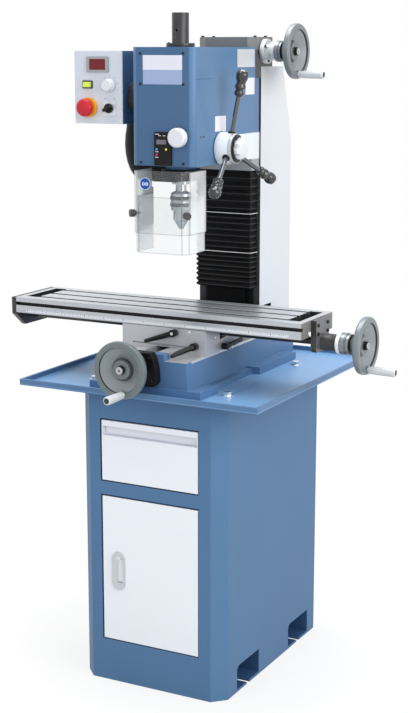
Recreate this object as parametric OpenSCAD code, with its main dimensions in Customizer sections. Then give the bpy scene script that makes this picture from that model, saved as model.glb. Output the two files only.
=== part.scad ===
// Bench mill drill on a cabinet stand.
// Origin: on the floor, under the centre of the stand. X runs along the table to the right,
// Y from the front to the column at the back, Z up. Millimetres.

/* [Stand] */
// Width of the cabinet, side to side
stand_w = 352; // [330:2:400]
// Depth of the cabinet, front to back
stand_d = 514; // [500:2:560]
// Height of the cabinet
stand_h = 668; // [650:2:760]
// Cut of the four upright corners
stand_chamfer = 28; // [16:2:32]
// Thickness of the cabinet's sheet
sheet = 3; // [2:0.5:4]
// Thickness of the base plate that the anchor slots are cut in
base_plate_t = 5; // [4:1:8]
// Width of the door and drawer openings
opening_w = 238; // [220:2:250]
// Height of the door opening's lower edge over the floor
door_z = 97; // [92:1:110]
// Height of the door opening
door_h = 331; // [300:2:336]
// Height of the drawer opening's lower edge over the floor
drawer_z = 461; // [456:1:470]
// Height of the drawer opening
drawer_h = 137; // [120:1:150]
// Length of the drawer box behind its front
drawer_l = 400; // [340:10:440]
// Travel of the drawer
drawer_travel = 300; // [200:10:300]
// Gap round the door and the drawer front
panel_gap = 1.5; // [1:0.25:2.5]
// Width of the anchor pockets in the side walls
pocket_w = 110; // [90:2:120]
// Height of the anchor pockets
pocket_h = 60; // [50:1:70]
// Depth of the anchor pockets from the side wall
pocket_deep = 62; // [52:1:70]
// Width of the anchor slots
anchor_slot_w = 14; // [10:1:18]
// Length of the anchor slots from the side edge
anchor_slot_l = 30; // [22:1:40]

/* [Chip tray] */
// Width of the chip tray
tray_w = 570; // [520:2:620]
// Depth of the chip tray
tray_d = 616; // [600:2:640]
// How far the tray's centre lies in front of the stand's centre
tray_forward = 11; // [0:1:20]
// Thickness of the tray's sheet
tray_t = 2.5; // [2:0.5:3]
// Height of the tray's lip over its floor
tray_lip_h = 11; // [8:1:16]
// Width of the hem along the top of the lip
tray_hem = 6; // [4:1:10]
// Distance of the tray bolts from the stand's sides
tray_bolt_inset = 14; // [12:1:20]
// Width across flats of the tray bolts
tray_bolt_af = 16; // [13:1:17]

/* [Base casting] */
// Height of the base casting up to the flat ways
base_h = 73; // [68:1:90]
// Half width of the base casting at its foot
base_half_foot = 102; // [100:1:110]
// Half width of the base casting at the ways
base_half_top = 97; // [92:1:99]
// Y of the front face of the base casting
base_front = -270; // [-280:1:-262]
// Y of the rear face of the base casting
base_rear = 288; // [284:1:290]
// Radius of the rear corners of the base casting
base_corner_r = 45; // [30:1:48]
// Thickness of the foot flange
foot_t = 16; // [12:1:20]
// Half width of the foot pads
pad_half = 134; // [126:1:142]
// Half width of the dovetail ways at their root
way_half = 38; // [34:1:42]
// Height of the dovetail ways
way_h = 13; // [10:1:14]
// Flare of each dovetail from root to edge
way_flare = 7; // [5:0.5:8]

/* [Saddle and table] */
// Half width of the saddle
saddle_half = 101; // [96:1:110]
// Height of the saddle
saddle_h = 55; // [52:1:64]
// Length of the table
table_l = 700; // [640:10:760]
// Width of the table
table_w = 160; // [154:2:180]
// Thickness of the table
table_t = 35.5; // [34:0.5:42]
// How far the table's middle stands left of the spindle
table_left = 29; // [0:1:60]
// Distance between T-slots
slot_pitch = 50; // [46:1:52]
// Width of a T-slot's neck
slot_neck_w = 12; // [10:1:14]
// Depth of a T-slot's neck
slot_neck_h = 7.5; // [6:0.5:9]
// Width of a T-slot's foot
slot_foot_w = 20; // [18:1:24]
// Height of a T-slot's foot
slot_foot_h = 8; // [6:0.5:9]
// Travel of the table to the left
table_travel_left = 200; // [100:10:200]
// Travel of the table to the right
table_travel_right = 240; // [100:10:240]
// Travel of the saddle to the back
saddle_travel_back = 100; // [60:5:100]
// Travel of the saddle to the front
saddle_travel_front = 45; // [20:5:45]

/* [Feed screws and handwheels] */
// Diameter of a handwheel
wheel_d = 120; // [110:2:126]
// Width of a handwheel's rim
wheel_rim_w = 14; // [12:1:18]
// Length of a handwheel's hub
wheel_hub_l = 36; // [32:1:42]
// Distance of the handle from a handwheel's centre
handle_r = 50; // [44:1:52]
// Length of a handwheel's grip
handle_l = 58; // [45:1:70]
// Radius of the feed screws
screw_r = 8; // [7:0.5:9]
// Radius of the micrometer dials
dial_r = 23; // [20:1:25]
// Height of the table screw over the flat ways
x_screw_up = 41; // [39:0.5:42]
// Depth of the saddle screw under the top of the flat ways
y_screw_down = 4.5; // [3:0.5:6]

/* [Column] */
// Y of the column's front face
col_front = 118; // [116:1:122]
// Half width of the column
col_half = 77; // [75:1:84]
// Y of the column's rear face
col_rear = 280; // [270:1:281]
// Height of the column over the flat ways
col_h = 596; // [592:1:640]
// Height over the flat ways where the rear face starts to lean
col_lean_h = 434; // [400:2:480]
// How far the rear face leans forward at the top
col_lean = 47; // [30:1:55]
// Wall of the column
col_wall = 12; // [10:1:14]
// Distance of the elevating screw behind the column's front face
z_screw_back = 17; // [16:0.5:20]
// Radius of the elevating screw
z_screw_r = 10; // [8:0.5:11]
// Height of the gearbox cap
gearbox_h = 64; // [60:1:70]

/* [Head] */
// Distance of the spindle axis in front of the origin
spindle_forward = 112; // [110:1:114]
// Height of the head's underside over the table, head raised
head_clear = 304.5; // [304:0.5:306]
// Height of the head casting
head_h = 243; // [236:1:248]
// Half width of the head casting
head_half = 74; // [72:1:80]
// Distance of the head's front face in front of the spindle axis
head_nose = 78; // [74:1:84]
// Radius of the head's front upright edges
head_edge_r = 12; // [6:1:16]
// Downward travel of the head on its column
head_travel = 110; // [60:5:110]
// Radius of the quill
quill_r = 25; // [22:1:27]
// Travel of the quill
quill_travel = 50; // [30:2:50]
// Radius of the drill chuck
chuck_r = 23; // [20:1:26]
// Distance of a quill lever's end from the capstan's axis
lever_l = 168; // [140:2:170]
// Number of quill levers
lever_count = 3; // [3:1:4]
// Turn of the first quill lever from upright, to the front
lever_phase = 2; // [0:1:10]
// Width of the control box
box_w = 118; // [108:1:126]
// Height of the control box
box_h = 152; // [146:1:160]
// Depth of the control box
box_d = 95; // [85:1:96]

/* [Guard] */
// Half width of the clear chuck shield
guard_half = 67; // [62:1:70]
// Wall of the shield and its sliding panel
guard_t = 3; // [2:0.5:4]
// Height of the clear chuck shield
guard_h = 132; // [120:1:136]
// How far the sliding panel hangs below the shield
guard_drop = 41; // [30:1:46]
// Upward travel of the sliding panel
panel_travel = 38; // [20:1:38]
// Swing of the shield to the side
guard_swing_deg = 110; // [80:5:110]

/* [Bellows] */
// Number of pleats in the column bellows
pleat_count = 20; // [14:1:24]
// Depth of a pleat
pleat_deep = 8; // [5:0.5:9]

/* [Fits] */
// Radial clearance of turning shafts
run_fit = 0.05; // [0.03:0.01:0.08]
// Clearance between sliding faces
slide_fit = 0.1; // [0.05:0.05:0.3]

/* [Hidden] */
$fn = 64;
e = 0.01;

blue = [0.32, 0.47, 0.62];
light_blue = [0.52, 0.66, 0.82];
off_white = [0.90, 0.91, 0.94];
machined = [0.72, 0.73, 0.76];
cast_grey = [0.45, 0.48, 0.49];
dark = [0.16, 0.16, 0.17];
rubber = [0.06, 0.06, 0.065];
clear = [0.85, 0.9, 0.95, 0.35];

// Levels
tray_z = stand_h;
base_z = tray_z + tray_t;
way_z = base_z + base_h;
table_z = way_z + saddle_h;
table_top = table_z + table_t;
col_top = way_z + col_h;
head_z = table_top + head_clear;
head_top = head_z + head_h;
spindle_y = -spindle_forward;
table_y = spindle_y;
head_front = spindle_y - head_nose;

// Cabinet levels
floor_sheet_z = door_z - sheet - 4;
shelf_z = (door_z + door_h + drawer_z) / 2 - sheet / 2;
front_y = -stand_d / 2;
pocket_pitch = 266;
pocket_shift = 3;
pocket_r = 12;
hinge_inset = 7;
tray_bolt_x = stand_w / 2 - tray_bolt_inset;
pin_r = 2.5;
door_t = 16;
door_skin = 2;
drawer_skin = 2;
drawer_side_gap = 14;
drawer_box_h = drawer_h - 28;
pull_h = 20;
pull_deep = 14;
latch_w = 32;
latch_h = 87;
latch_x = -78;
latch_z = door_z + door_h / 2 - 2.5;
latch_lever_w = 12;
latch_lever_h = 52;

module cut_corner_plan(w, d, c) {
    polygon([
        [-w / 2 + c, -d / 2], [w / 2 - c, -d / 2], [w / 2, -d / 2 + c], [w / 2, d / 2 - c],
        [w / 2 - c, d / 2], [-w / 2 + c, d / 2], [-w / 2, d / 2 - c], [-w / 2, -d / 2 + c]
    ]);
}

module round_plan(w, d, r) {
    square([w - 2 * r, d], center = true);
    square([w, d - 2 * r], center = true);
    for (sx = [-1, 1], sy = [-1, 1])
        translate([sx * (w / 2 - r), sy * (d / 2 - r)])
            circle(r);
}

// A block between two corners
module block(a, b) {
    translate(a)
        cube([b[0] - a[0], b[1] - a[1], b[2] - a[2]]);
}

// A cylinder from a point along +X
module x_rod(p, r, l) {
    translate(p)
        rotate([0, 90, 0])
            cylinder(r = r, h = l);
}

// A cylinder from a point along -Y
module y_rod(p, r, l) {
    translate(p)
        rotate([90, 0, 0])
            cylinder(r = r, h = l);
}

// A cylinder from a point up
module z_rod(p, r, l) {
    translate(p)
        cylinder(r = r, h = l);
}

// ---------------------------------------------------------------- stand

function pocket_y(s) = pocket_shift + s * pocket_pitch / 2;

module inner_plan() {
    cut_corner_plan(stand_w - 2 * sheet, stand_d - 2 * sheet, stand_chamfer - 0.58 * sheet);
}

// The notch in a side wall, or with grow the box that stands behind it
module pocket(side, s, grow, deep) {
    h = pocket_h - base_plate_t + grow;
    w = pocket_w + 2 * grow;
    mirror([side < 0 ? 1 : 0, 0, 0])
        translate([stand_w / 2 + 1, pocket_y(s), base_plate_t])
            rotate([90, 0, 90])
                mirror([0, 0, 1])
                    linear_extrude(deep + 1) {
                        translate([-w / 2, 0])
                            square([w, h - pocket_r]);
                        translate([-w / 2 + pocket_r, 0])
                            square([w - pocket_r, h]);
                        translate([-w / 2 + pocket_r, h - pocket_r])
                            circle(pocket_r);
                    }
}

module anchor_slot(side, s) {
    translate([0, pocket_y(s), -1])
        linear_extrude(base_plate_t + 2) {
            translate([side * (stand_w / 2 - anchor_slot_l + anchor_slot_w / 2), 0])
                circle(d = anchor_slot_w);
            translate([side * (stand_w / 2 - (anchor_slot_l - anchor_slot_w / 2) / 2 + 1), 0])
                square([anchor_slot_l - anchor_slot_w / 2 + 2, anchor_slot_w], center = true);
        }
}

module stand_cabinet() color(blue)
difference() {
    union() {
        difference() {
            linear_extrude(stand_h)
                cut_corner_plan(stand_w, stand_d, stand_chamfer);
            translate([0, 0, base_plate_t])
                linear_extrude(floor_sheet_z - base_plate_t)
                    inner_plan();
            translate([0, 0, floor_sheet_z + sheet])
                linear_extrude(shelf_z - floor_sheet_z - sheet)
                    inner_plan();
            translate([0, 0, shelf_z + sheet])
                linear_extrude(stand_h - shelf_z - 2 * sheet)
                    inner_plan();
        }
        for (side = [-1, 1], s = [-1, 1])
            intersection() {
                pocket(side, s, sheet, pocket_deep + sheet);
                linear_extrude(floor_sheet_z)
                    cut_corner_plan(stand_w, stand_d, stand_chamfer);
            }
    }
    for (side = [-1, 1], s = [-1, 1]) {
        pocket(side, s, 0, pocket_deep);
        anchor_slot(side, s);
    }
    block([-opening_w / 2, front_y - 1, door_z], [opening_w / 2, front_y + sheet + 1, door_z + door_h]);
    block([-opening_w / 2, front_y - 1, drawer_z], [opening_w / 2, front_y + sheet + 1, drawer_z + drawer_h]);
    for (sx = [-1, 1], y = tray_bolt_ys)
        z_rod([sx * tray_bolt_x, y, stand_h - sheet - 1], bolt_r + 0.5, sheet + 2);
}

// Pins at the right edge of the door, on brackets behind the edges of its opening
hinge_x = opening_w / 2 - hinge_inset;
hinge_y = front_y + 3.5;
pin_l = 14;
bracket_h = 4;
bracket_d = 14;
hinge_tab_t = 1.1;

module door_hinge_half() {
    block([hinge_x - 8, front_y + sheet, -bracket_h], [hinge_x + 12, front_y + sheet + bracket_d, 0]);
    block([hinge_x - 5, hinge_y - pin_r, 0], [hinge_x + 5, front_y + sheet + bracket_d, hinge_tab_t]);
    z_rod([hinge_x, hinge_y, 0], pin_r, pin_l);
}

module door_hinges() color(machined) {
    translate([0, 0, door_z])
        door_hinge_half();
    translate([0, 0, door_z + door_h])
        mirror([0, 0, 1])
            door_hinge_half();
}

door_x0 = -opening_w / 2 + panel_gap;
door_x1 = opening_w / 2 - panel_gap;
door_z0 = door_z + panel_gap;
door_z1 = door_z + door_h - panel_gap;

module stand_door() color(off_white)
difference() {
    union() {
        difference() {
            block([door_x0, front_y, door_z0], [door_x1, front_y + door_t, door_z1]);
            block([door_x0 + door_skin, front_y + door_skin, door_z0 + door_skin],
                  [door_x1 - door_skin, front_y + door_t + 1, door_z1 - door_skin]);
        }
        for (z = [door_z0, door_z1 - pin_l])
            block([hinge_x - 5, front_y, z], [door_x1, front_y + 9, z + pin_l]);
        y_rod([latch_x, front_y + 9, latch_z], 9, 8);
    }
    z_rod([hinge_x, hinge_y, door_z0 - 1], pin_r + run_fit, pin_l + 2);
    z_rod([hinge_x, hinge_y, door_z1 - pin_l - 1], pin_r + run_fit, pin_l + 2);
    latch_place()
        translate([0, 0, -latch_sunk])
            linear_extrude(2 * latch_sunk)
                latch_oval(0);
}

latch_sunk = 1.5;
latch_t = 5;
latch_floor = 1.2;
latch_lever_t = 2.4;
latch_pin_r = 1;
latch_lever_x = 5;
latch_pivot = 27;

// Built with the door's front as the XY plane and the viewer on the Z side
module latch_place() {
    translate([latch_x, front_y, latch_z])
        rotate([90, 0, 0])
            children();
}

module latch_oval(inset) {
    r = latch_w / 2 - inset;
    for (s = [-1, 1])
        translate([0, s * (latch_h - latch_w) / 2])
            circle(r);
    square([2 * r, latch_h - latch_w], center = true);
}

module latch_plate() color(cast_grey)
latch_place()
    difference() {
        translate([0, 0, -latch_sunk])
            linear_extrude(latch_t)
                latch_oval(0.2);
        translate([latch_lever_x - latch_lever_w / 2 - 0.4, latch_pivot - latch_lever_h - 1, latch_floor - latch_sunk])
            cube([latch_lever_w + 0.8, latch_lever_h + 4, latch_t]);
        translate([latch_lever_x - latch_lever_w / 2 - 2.5, latch_pivot, latch_axis_h])
            rotate([0, 90, 0])
                cylinder(r = latch_pin_r + run_fit, h = latch_lever_w + 5);
    }

latch_axis_h = latch_floor - latch_sunk + 0.3 + latch_lever_t / 2;

module latch_lever() color(cast_grey)
latch_place()
    translate([latch_lever_x - latch_lever_w / 2, latch_pivot, latch_axis_h]) {
        translate([0, -latch_lever_h + 2, -latch_lever_t / 2])
            cube([latch_lever_w, latch_lever_h - 2, latch_lever_t]);
        rotate([0, 90, 0])
            cylinder(r = latch_lever_t / 2, h = latch_lever_w);
        translate([-2, 0, 0])
            rotate([0, 90, 0])
                cylinder(r = latch_pin_r, h = latch_lever_w + 4);
    }

module drawer() color(off_white)
difference() {
    union() {
        // front below the pull, the wall behind it and the lip over it
        block([door_x0, front_y, drawer_z + panel_gap], [door_x1, front_y + pull_deep + drawer_skin, drawer_z + drawer_h - panel_gap]);
        block([-drawer_half, front_y + pull_deep, drawer_box_z],
              [drawer_half, front_y + pull_deep + drawer_l, drawer_box_z + drawer_box_h]);
    }
    // finger gap under the lip
    block([door_x0 + drawer_skin, front_y - 1, drawer_lip_z - pull_h],
          [door_x1 - drawer_skin, front_y + pull_deep, drawer_lip_z]);
    block([door_x0 + drawer_skin, front_y + drawer_skin, drawer_lip_z - 1],
          [door_x1 - drawer_skin, front_y + pull_deep, drawer_lip_z + 11]);
    // hollow of the folded front below the pull, open downwards
    block([door_x0 + drawer_skin, front_y + drawer_skin, drawer_z],
          [door_x1 - drawer_skin, front_y + pull_deep, drawer_lip_z - pull_h - drawer_skin]);
    // inside of the box
    block([-drawer_half + drawer_skin, front_y + pull_deep + drawer_skin, drawer_box_z + drawer_skin],
          [drawer_half - drawer_skin, front_y + pull_deep + drawer_l - drawer_skin, drawer_box_z + drawer_box_h + 1]);
}

drawer_half = opening_w / 2 - drawer_side_gap;
drawer_box_z = drawer_z + 8;
drawer_lip_z = drawer_z + drawer_h - panel_gap - 13;
rail_ledge = 9;
rail_t = 2;
rail_gap = 0.3;
runner_y = front_y + pull_deep + drawer_skin + 1;

module drawer_runners() color(machined)
for (side = [0, 1])
    mirror([side, 0, 0]) {
        block([drawer_half + 1, runner_y, shelf_z + sheet],
              [drawer_half + 1 + rail_t, runner_y + drawer_l - 30, drawer_box_z + 42]);
        block([drawer_half - rail_ledge, runner_y, drawer_box_z - rail_gap - rail_t],
              [drawer_half + 1 + rail_t, runner_y + drawer_l - 30, drawer_box_z - rail_gap]);
    }

// ---------------------------------------------------------------- chip tray

bolt_r = 5;
bolt_head_h = 6.5;
washer_r = 11;
washer_t = 2;
tray_bolt_ys = [-209, 135];

module chip_tray() color(light_blue)
difference() {
    translate([0, -tray_forward, tray_z])
        difference() {
            linear_extrude(tray_t + tray_lip_h)
                square([tray_w, tray_d], center = true);
            translate([0, 0, tray_t])
                linear_extrude(tray_lip_h - tray_t)
                    square([tray_w - 2 * tray_t, tray_d - 2 * tray_t], center = true);
            translate([0, 0, tray_t])
                linear_extrude(tray_lip_h + 1)
                    square([tray_w - 2 * tray_hem, tray_d - 2 * tray_hem], center = true);
        }
    for (sx = [-1, 1], y = tray_bolt_ys)
        z_rod([sx * tray_bolt_x, y, tray_z - 1], bolt_r + 0.5, tray_t + 2);
}

module tray_bolts() color(machined)
for (sx = [-1, 1], y = tray_bolt_ys)
    translate([sx * tray_bolt_x, y, base_z]) {
        cylinder(r = washer_r, h = washer_t);
        translate([0, 0, washer_t])
            cylinder(d = tray_bolt_af / cos(30), h = bolt_head_h, $fn = 6);
        translate([0, 0, -22])
            cylinder(r = bolt_r, h = 22);
    }

// ---------------------------------------------------------------- base casting

pad_ys = [[base_front - 6, -196], [4, 197]];
pad_hole_ys = [-218, 141];
pad_hole_r = 4.5;
base_skin = 12;
way_front = base_front + 22;
way_rear = col_front - 6;
channel_half = 17;
y_axis_z = way_z - y_screw_down;
channel_z = y_axis_z - 16;

module base_section() {
    polygon([[-base_half_foot, 0], [base_half_foot, 0], [base_half_top, base_h], [-base_half_top, base_h]]);
}

module base_outline() {
    l = base_rear - base_front;
    w = 2 * base_half_foot;
    translate([-w / 2, base_front])
        square([w, l - base_corner_r]);
    translate([-w / 2 + base_corner_r, base_front])
        square([w - 2 * base_corner_r, l]);
    for (s = [-1, 1])
        translate([s * (w / 2 - base_corner_r), base_rear - base_corner_r])
            circle(base_corner_r);
}

// Dovetail section, root on the X axis, edge at h
module dovetail(half, h, flare, grow) {
    polygon([
        [-half - grow, -grow], [half + grow, -grow],
        [half + flare + grow, h + grow], [-half - flare - grow, h + grow]
    ]);
}

module base_casting() color(blue)
difference() {
    union() {
        intersection() {
            translate([0, base_rear, base_z])
                rotate([90, 0, 0])
                    linear_extrude(base_rear - base_front)
                        base_section();
            translate([0, 0, base_z])
                linear_extrude(base_h)
                    base_outline();
        }
        translate([0, way_rear, way_z])
            rotate([90, 0, 0])
                linear_extrude(way_rear - way_front)
                    dovetail(way_half, way_h, way_flare, 0);
        block([-way_half - way_flare, base_front, way_z - 1], [way_half + way_flare, way_front + 1, way_z + way_h]);
        for (y = pad_ys)
            block([-pad_half, y[0], base_z], [pad_half, y[1], base_z + foot_t]);
        block([-base_half_foot - 14, base_front, base_z], [base_half_foot + 14, pad_ys[1][0] + 1, base_z + foot_t - 4]);
    }
    // hollow underside, open to the tray
    block([-base_half_top + base_skin, base_front + base_skin, base_z - 1],
          [base_half_top - base_skin, base_rear - base_corner_r, base_z + base_h * 0.45]);
    // screw channel between the ways
    block([-channel_half, way_front + 2, channel_z], [channel_half, way_rear - 6, way_z + way_h + 1]);
    y_rod([0, way_front + 10, y_axis_z], screw_r + run_fit, 60);
    for (s = [-1, 1], y = pad_hole_ys)
        z_rod([s * (pad_half - 16), y, base_z - 1], pad_hole_r, foot_t + 2);
}

// ---------------------------------------------------------------- saddle screw and handwheel

plate_t = 22;
plate_y = base_front;
y_ring_l = 8;
y_boss_l = 9;
y_dial_y = plate_y - plate_t - y_boss_l - y_ring_l;
dial_l = 30;
y_wheel_y = y_dial_y - dial_l - 2;

module y_bearing_plate() color(dark)
difference() {
    union() {
        translate([0, plate_y, 0])
            rotate([90, 0, 0])
                linear_extrude(plate_t)
                    polygon([
                        [-24, y_axis_z + 23], [24, y_axis_z + 23], [31, y_axis_z + 8], [36, y_axis_z - 12],
                        [37, y_axis_z - 40], [30, y_axis_z - 48], [-30, y_axis_z - 48], [-37, y_axis_z - 40],
                        [-36, y_axis_z - 12], [-31, y_axis_z + 8]
                    ]);
        y_rod([0, plate_y - plate_t, y_axis_z], 18, y_boss_l);
        y_rod([0, plate_y - plate_t - y_boss_l, y_axis_z], dial_r - 1, y_ring_l - 0.3);
    }
    y_rod([0, plate_y + 1, y_axis_z], screw_r + run_fit, 80);
}

// Plain screw along +Z
module feed_screw(l, r) {
    cylinder(r = r, h = l);
}

// A dished handwheel, hub at the origin, rim at the far end of the hub along +Z
module handwheel_body(bore) {
    rim = wheel_d / 2;
    rotate_extrude($fn = 96)
        polygon([
            [bore, 0], [15, 0], [17, 6], [18, 12], [rim - 16, wheel_hub_l - wheel_rim_w + 1],
            [rim - 9, wheel_hub_l - wheel_rim_w], [rim - 3, wheel_hub_l - wheel_rim_w], [rim - 0.8, wheel_hub_l - wheel_rim_w + 1.4],
            [rim, wheel_hub_l - wheel_rim_w + 4], [rim, wheel_hub_l - 4], [rim - 0.8, wheel_hub_l - 1.4],
            [rim - 3, wheel_hub_l], [rim - 12.5, wheel_hub_l], [rim - 13, wheel_hub_l - 0.5], [rim - 13.4, wheel_hub_l - 3.8],
            [24, wheel_hub_l - 18.5], [20.8, wheel_hub_l - 18.5], [20, wheel_hub_l - 10.6], [19.2, wheel_hub_l - 10],
            [bore, wheel_hub_l - 10]
        ]);
}

handle_pin_r = 4;

module handwheel() {
    handwheel_body(screw_r);
    translate([-handle_r, 0, wheel_hub_l - wheel_rim_w])
        cylinder(r = 9, h = wheel_rim_w + 1);
    translate([-handle_r, 0, wheel_hub_l])
        cylinder(r = handle_pin_r, h = handle_l - 4);
}

// The grip turns on the pin that stands in the rim
module handle_grip() {
    rotate_extrude()
        polygon([
            [handle_pin_r + run_fit, 0], [6.5, 0], [7.5, 3], [8.2, 12], [8.6, handle_l * 0.5],
            [9, handle_l - 6], [8.4, handle_l - 1.5], [7, handle_l], [0, handle_l],
            [0, handle_l - 3.4], [handle_pin_r + run_fit, handle_l - 3.4]
        ]);
}

module dial_body(l) {
    difference() {
        union() {
            cylinder(r = dial_r, h = l * 0.62);
            cylinder(r = dial_r - 2, h = l);
        }
        translate([0, 0, -1])
            cylinder(r = screw_r + run_fit, h = l + 2);
    }
}

y_handle_turn = 8;

// Places a child that is built along +Z so that it runs along -Y from y, on the saddle screw
module on_y_screw(y) {
    translate([0, y, y_axis_z])
        rotate([90, 0, 0])
            rotate([0, 0, 90 + y_handle_turn])
                children();
}

y_screw_end = way_rear - 24;

module y_screw() color(machined)
    on_y_screw(y_screw_end)
        feed_screw(y_screw_end - y_wheel_y + wheel_hub_l - 6 + 4, screw_r);

module y_handwheel() color(cast_grey)
    on_y_screw(y_wheel_y)
        handwheel();

module y_dial() color(machined)
    on_y_screw(y_dial_y)
        dial_body(dial_l);

module y_handle() color(off_white)
    on_y_screw(y_wheel_y)
        translate([-handle_r, 0, wheel_hub_l + 1.3])
            handle_grip();

// ---------------------------------------------------------------- saddle

x_axis_z = way_z + x_screw_up;
nut_l = 40;
x_dove_half = 38;
x_dove_h = 11;

module saddle() color(machined)
difference() {
    union() {
        block([-saddle_half, table_y - table_w / 2, way_z + slide_fit],
              [saddle_half, table_y + table_w / 2, table_z - slide_fit]);
        translate([-saddle_half, table_y, table_z - slide_fit])
            rotate([90, 0, 90])
                linear_extrude(2 * saddle_half)
                    dovetail(x_dove_half, x_dove_h, way_flare, 0);
        y_nut();
    }
    // channel over the ways
    difference() {
        translate([0, table_y + table_w / 2 + 1, way_z])
            rotate([90, 0, 0])
                linear_extrude(table_w + 2)
                    dovetail(way_half, way_h, way_flare, slide_fit);
        y_nut();
    }
    // channel round the table screw
    difference() {
        block([-saddle_half - 1, table_y - 14, x_axis_z - 14], [saddle_half + 1, table_y + 14, table_z + x_dove_h + 1]);
        block([-nut_l / 2, table_y - 15, x_axis_z - 15], [nut_l / 2, table_y + 15, x_axis_z + 13]);
    }
    x_rod([-saddle_half - 1, table_y, x_axis_z], screw_r + run_fit, 2 * saddle_half + 2);
    y_rod([0, table_y + nut_l / 2 + 1, y_axis_z], screw_r + run_fit, nut_l + 2);
    // gib line along the front
    block([-72, table_y - table_w / 2 - 1, way_z + 16.5], [72, table_y - table_w / 2 + 1.5, way_z + 18]);
    for (l = [clamp_a, clamp_b])
        y_rod([l[0], table_y - table_w / 2 + stud_deep, l[2]], stud_r + run_fit, 30);
    x_rod([saddle_half - stud_deep, clamp_c[1], clamp_c[2]], stud_r + run_fit, 30);
}

module y_nut() {
    block([-channel_half + 3, table_y - nut_l / 2, y_axis_z - 13], [channel_half - 3, table_y + nut_l / 2, way_z + way_h + 2]);
}

// Clamp levers: stud in the saddle, hub and tapering arm
stud_r = 4;
stud_deep = 8;
clamp_a = [29, table_y - table_w / 2, table_z - 9];
clamp_b = [78, table_y - table_w / 2, way_z + 21];
clamp_c = [saddle_half, table_y, way_z + 9.5];
arm_a = [-58, -15, -19];
arm_b = [-22, -52, -12];
arm_c = [5, 60, 6];

// A tapering arm with round ends from a point along a vector
module clamp_arm(from, arm) {
    l = norm(arm);
    translate(from)
        rotate([0, acos(arm[2] / l), atan2(arm[1], arm[0])]) {
            sphere(r = 6.5);
            cylinder(r1 = 6.5, r2 = 4.5, h = l);
            translate([0, 0, l])
                sphere(r = 4.5);
        }
}

module front_clamp(at, arm) {
    y_rod([at[0], at[1] + stud_deep - 1, at[2]], stud_r, stud_deep + 4);
    y_rod([at[0], at[1] - 0.5, at[2]], 8, 15);
    clamp_arm([at[0], at[1] - 9, at[2]], arm);
}

module table_clamp() color(dark) front_clamp(clamp_a, arm_a);

module saddle_clamp() color(dark) front_clamp(clamp_b, arm_b);

module side_clamp() color(dark) {
    x_rod([clamp_c[0] - stud_deep + 1, clamp_c[1], clamp_c[2]], stud_r, stud_deep + 4);
    x_rod([clamp_c[0] + 0.5, clamp_c[1], clamp_c[2]], 7, 13);
    clamp_arm([clamp_c[0] + 9, clamp_c[1], clamp_c[2]], arm_c);
}

// ---------------------------------------------------------------- table

table_x0 = -table_left - table_l / 2;
table_x1 = table_x0 + table_l;
trough_in = 14;
trough_w = 29;
trough_deep = 9;
stop_slot_h = 7;
stop_slot_deep = 8;

module t_slot(y) {
    x0 = table_x0 + trough_in + trough_w - 4;
    x1 = table_x1 - trough_in - trough_w + 6;
    block([x0, y - slot_neck_w / 2, table_top - slot_neck_h - 1], [x1, y + slot_neck_w / 2, table_top + 1]);
    block([x0, y - slot_foot_w / 2, table_top - slot_neck_h - slot_foot_h], [x1, y + slot_foot_w / 2, table_top - slot_neck_h]);
}

module table() color(machined)
difference() {
    block([table_x0, table_y - table_w / 2, table_z], [table_x1, table_y + table_w / 2, table_top]);
    for (i = [-1:1])
        t_slot(table_y + i * slot_pitch);
    // coolant troughs
    for (x = [table_x0 + trough_in, table_x1 - trough_in - trough_w])
        block([x, table_y - 58, table_top - slot_neck_h - slot_foot_h], [x + trough_w, table_y + 63, table_top + 1]);
    // stop slot along the front
    block([table_x0 - 1, table_y - table_w / 2 - 1, table_top - 17.5],
          [table_x1 + 1, table_y - table_w / 2 + stop_slot_deep, table_top - 17.5 + stop_slot_h]);
    // channel over the saddle's dovetail
    translate([table_x0 - 1, table_y, table_z - slide_fit])
        rotate([90, 0, 90])
            linear_extrude(table_l + 2)
                dovetail(x_dove_half, x_dove_h, way_flare, slide_fit);
}

end_plate_t = 11;

module table_end_plates() color(dark) {
    left_end_plate();
    right_bearing_bracket();
}

module left_end_plate()
difference() {
    translate([table_x0 - end_plate_t, table_y, 0])
        rotate([90, 0, 90])
            linear_extrude(end_plate_t)
                polygon([
                    [-table_w / 2, table_top - 0.5], [-table_w / 2, table_z - 2], [-43, x_axis_z - 18], [43, x_axis_z - 18],
                    [table_w / 2, table_z - 2], [table_w / 2, table_top - 0.5]
                ]);
    x_rod([table_x0 - end_plate_t / 2, table_y, x_axis_z], screw_r + run_fit, end_plate_t);
}

bracket_t = 12;
bracket_x = table_x1 + 0.6;
tube_l = 36;
ring_l = 8;
x_dial_l = 21;
x_dial_x = bracket_x + bracket_t + tube_l + ring_l + 0.3;
x_wheel_x = x_dial_x + x_dial_l + 1.5;

module right_bearing_bracket()
difference() {
    union() {
        translate([table_x1, table_y, 0])
            rotate([90, 0, 90])
                linear_extrude(bracket_t + 0.6)
                    polygon([
                        [-33, table_top - 1.5], [-33, x_axis_z - 13], [-27, x_axis_z - 19],
                        [27, x_axis_z - 19], [33, x_axis_z - 13], [33, table_top - 1.5]
                    ]);
        x_rod([bracket_x, table_y, x_axis_z], 18, bracket_t + tube_l);
        x_rod([bracket_x + bracket_t + tube_l, table_y, x_axis_z], dial_r - 1, ring_l);
    }
    x_rod([table_x1 - 1, table_y, x_axis_z], screw_r + run_fit, 80);
}

// Places a child that is built along +Z so that it runs along +X from x, on the table screw
module on_x_screw(x) {
    translate([x, table_y, x_axis_z])
        rotate([0, 90, 0])
            mirror([1, 0, 0])
                children();
}

module x_screw() color(machined)
    on_x_screw(table_x0 - end_plate_t / 2 + 0.5)
        feed_screw(x_wheel_x + wheel_hub_l - 2 - table_x0 + end_plate_t / 2 - 0.5, screw_r);

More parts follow.
